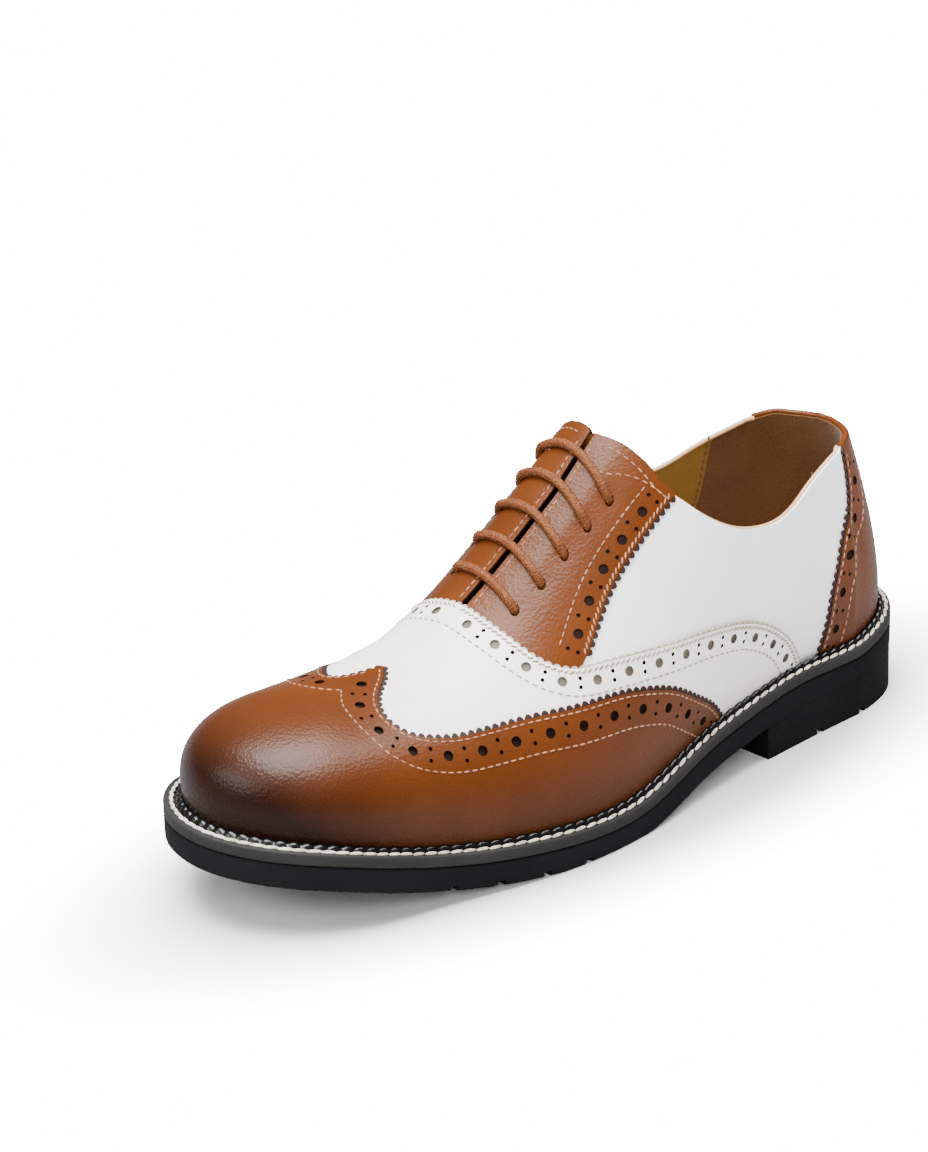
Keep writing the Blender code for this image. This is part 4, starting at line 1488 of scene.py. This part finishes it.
# Insole with its sock
plate_reach = rays.edge - WALL - PLATE_SPACE
rings = [rays.ring(reach, sole_top(reach) + PLATE_SPACE) for reach in (zero, middle_reach, step_reach)]
rings.append(rays.ring(step_reach, rays.top(step_reach) + FIT_SPACE))
rings.append(rays.ring(plate_reach, rays.top(plate_reach) + FIT_SPACE))
for share in (1.0, 0.9, 0.6, 0.3, 0.0):
    reach = plate_reach * share
    cup = 1.2 * share**4
    rings.append(rays.ring(reach, rays.top(reach) + FIT_SPACE + INSOLE_THICKNESS + cup))
insole = finish_piece("sock_leather", lofted(rings), [sock])
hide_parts("insole")

# Studio: pale floor, soft light, and the photograph's camera
shape = bmesh.new()
bmesh.ops.create_grid(shape, x_segments=1, y_segments=1, size=6.0)
paint, tree, shader = material(
    "pale floor", Roughness=0.9, Specular_IOR_Level=0.1, Emission_Color=(1, 1, 1, 1)
)
# The floor glows to the camera alone, so it shows white; the glow fades out over an ellipse round the shoe,
# which paints a soft shadow under it. To glossy rays the floor is darker, so its reflection in the leather is
# painted darker.
seen = node(tree, "ShaderNodeLightPath")
pale = node(tree, "ShaderNodeMapRange", To_Min=0.6, To_Max=0.2)
spot = node(tree, "ShaderNodeTexCoord")
squeeze = node(tree, "ShaderNodeMapping", Scale=(1 / 0.066, 1 / 0.162, 0.0))
away = node(tree, "ShaderNodeVectorMath", ("operation", "LENGTH"))
spread = node(tree, "ShaderNodeMapRange", From_Min=0.85, From_Max=1.75, To_Min=0.0, To_Max=20.0)
spread.interpolation_type = "SMOOTHSTEP"
glow_with_painted_shadow = node(tree, "ShaderNodeMath", ("operation", "MULTIPLY"))
wire(
    tree,
    (seen, "Is Glossy Ray", pale, "Value"),
    (pale, "Result", shader, "Base Color"),
    (spot, "Object", squeeze, "Vector"),
    (squeeze, "Vector", away, 0),
    (away, "Value", spread, "Value"),
    (seen, "Is Camera Ray", glow_with_painted_shadow, 0),
    (spread, "Result", glow_with_painted_shadow, 1),
    (glow_with_painted_shadow, 0, shader, "Emission Strength"),
)
floor = in_scene("floor", mesh_of("floor", shape, [paint]))

world = bpy.data.worlds.new("pale room")
bpy.context.scene.world = world
world.use_nodes = True
backdrop = world.node_tree.nodes["Background"]
backdrop.inputs["Color"].default_value = (1.0, 1.0, 1.0, 1)
room = node(world.node_tree, "ShaderNodeLightPath")
dim = node(world.node_tree, "ShaderNodeMapRange", To_Min=0.36, To_Max=0.12)
wire(world.node_tree, (room, "Is Glossy Ray", dim, "Value"), (dim, "Result", backdrop, "Strength"))


def soft_light(name, place, aim, wide, tall, power, mirrored_in_leather=True):
    """A rectangular area light at a place in metres, turned to its aim."""
    lamp = bpy.data.lights.new(name, "AREA")
    lamp.shape = "RECTANGLE"
    lamp.size = wide
    lamp.size_y = tall
    lamp.energy = power
    made = in_scene(name, lamp)
    made.location = place
    made.rotation_mode = "QUATERNION"
    made.rotation_quaternion = (Vector(aim) - Vector(place)).to_track_quat("-Z", "Y")
    made.visible_glossy = mirrored_in_leather


soft_light("overhead softbox", (-0.1, -0.2, 1.4), (0, 0, 0.03), 1.1, 1.1, 84.0)
soft_light("front softbox", (1.1, -0.9, 0.9), (0, 0, 0.05), 0.8, 0.8, 27.0, False)
soft_light("toe softbox", (-0.45, -1.36, 0.9), (0, -0.1, 0.05), 1.1, 0.5, 14.0)
soft_light("side softbox", (0.22, 0.68, 1.35), (0, -0.1, 0.05), 0.5, 0.7, 16.0)

EYE = (0.979485, -0.896535, 0.632603)
AXES = (
    (0.66656718, -0.2725465, 0.6938347),
    (0.74503929, 0.27427766, -0.60801992),
    (-0.02458965, 0.92222024, 0.38588234),
)
lens = bpy.data.cameras.new("photograph")
lens.sensor_fit = "HORIZONTAL"
lens.sensor_width = 36.0
lens.lens = 166.55
lens.clip_start = 0.05
lens.clip_end = 50.0
camera = in_scene("photograph", lens)
camera.matrix_world = Matrix.Translation(EYE) @ Matrix(AXES).to_4x4()
bpy.context.scene.camera = camera
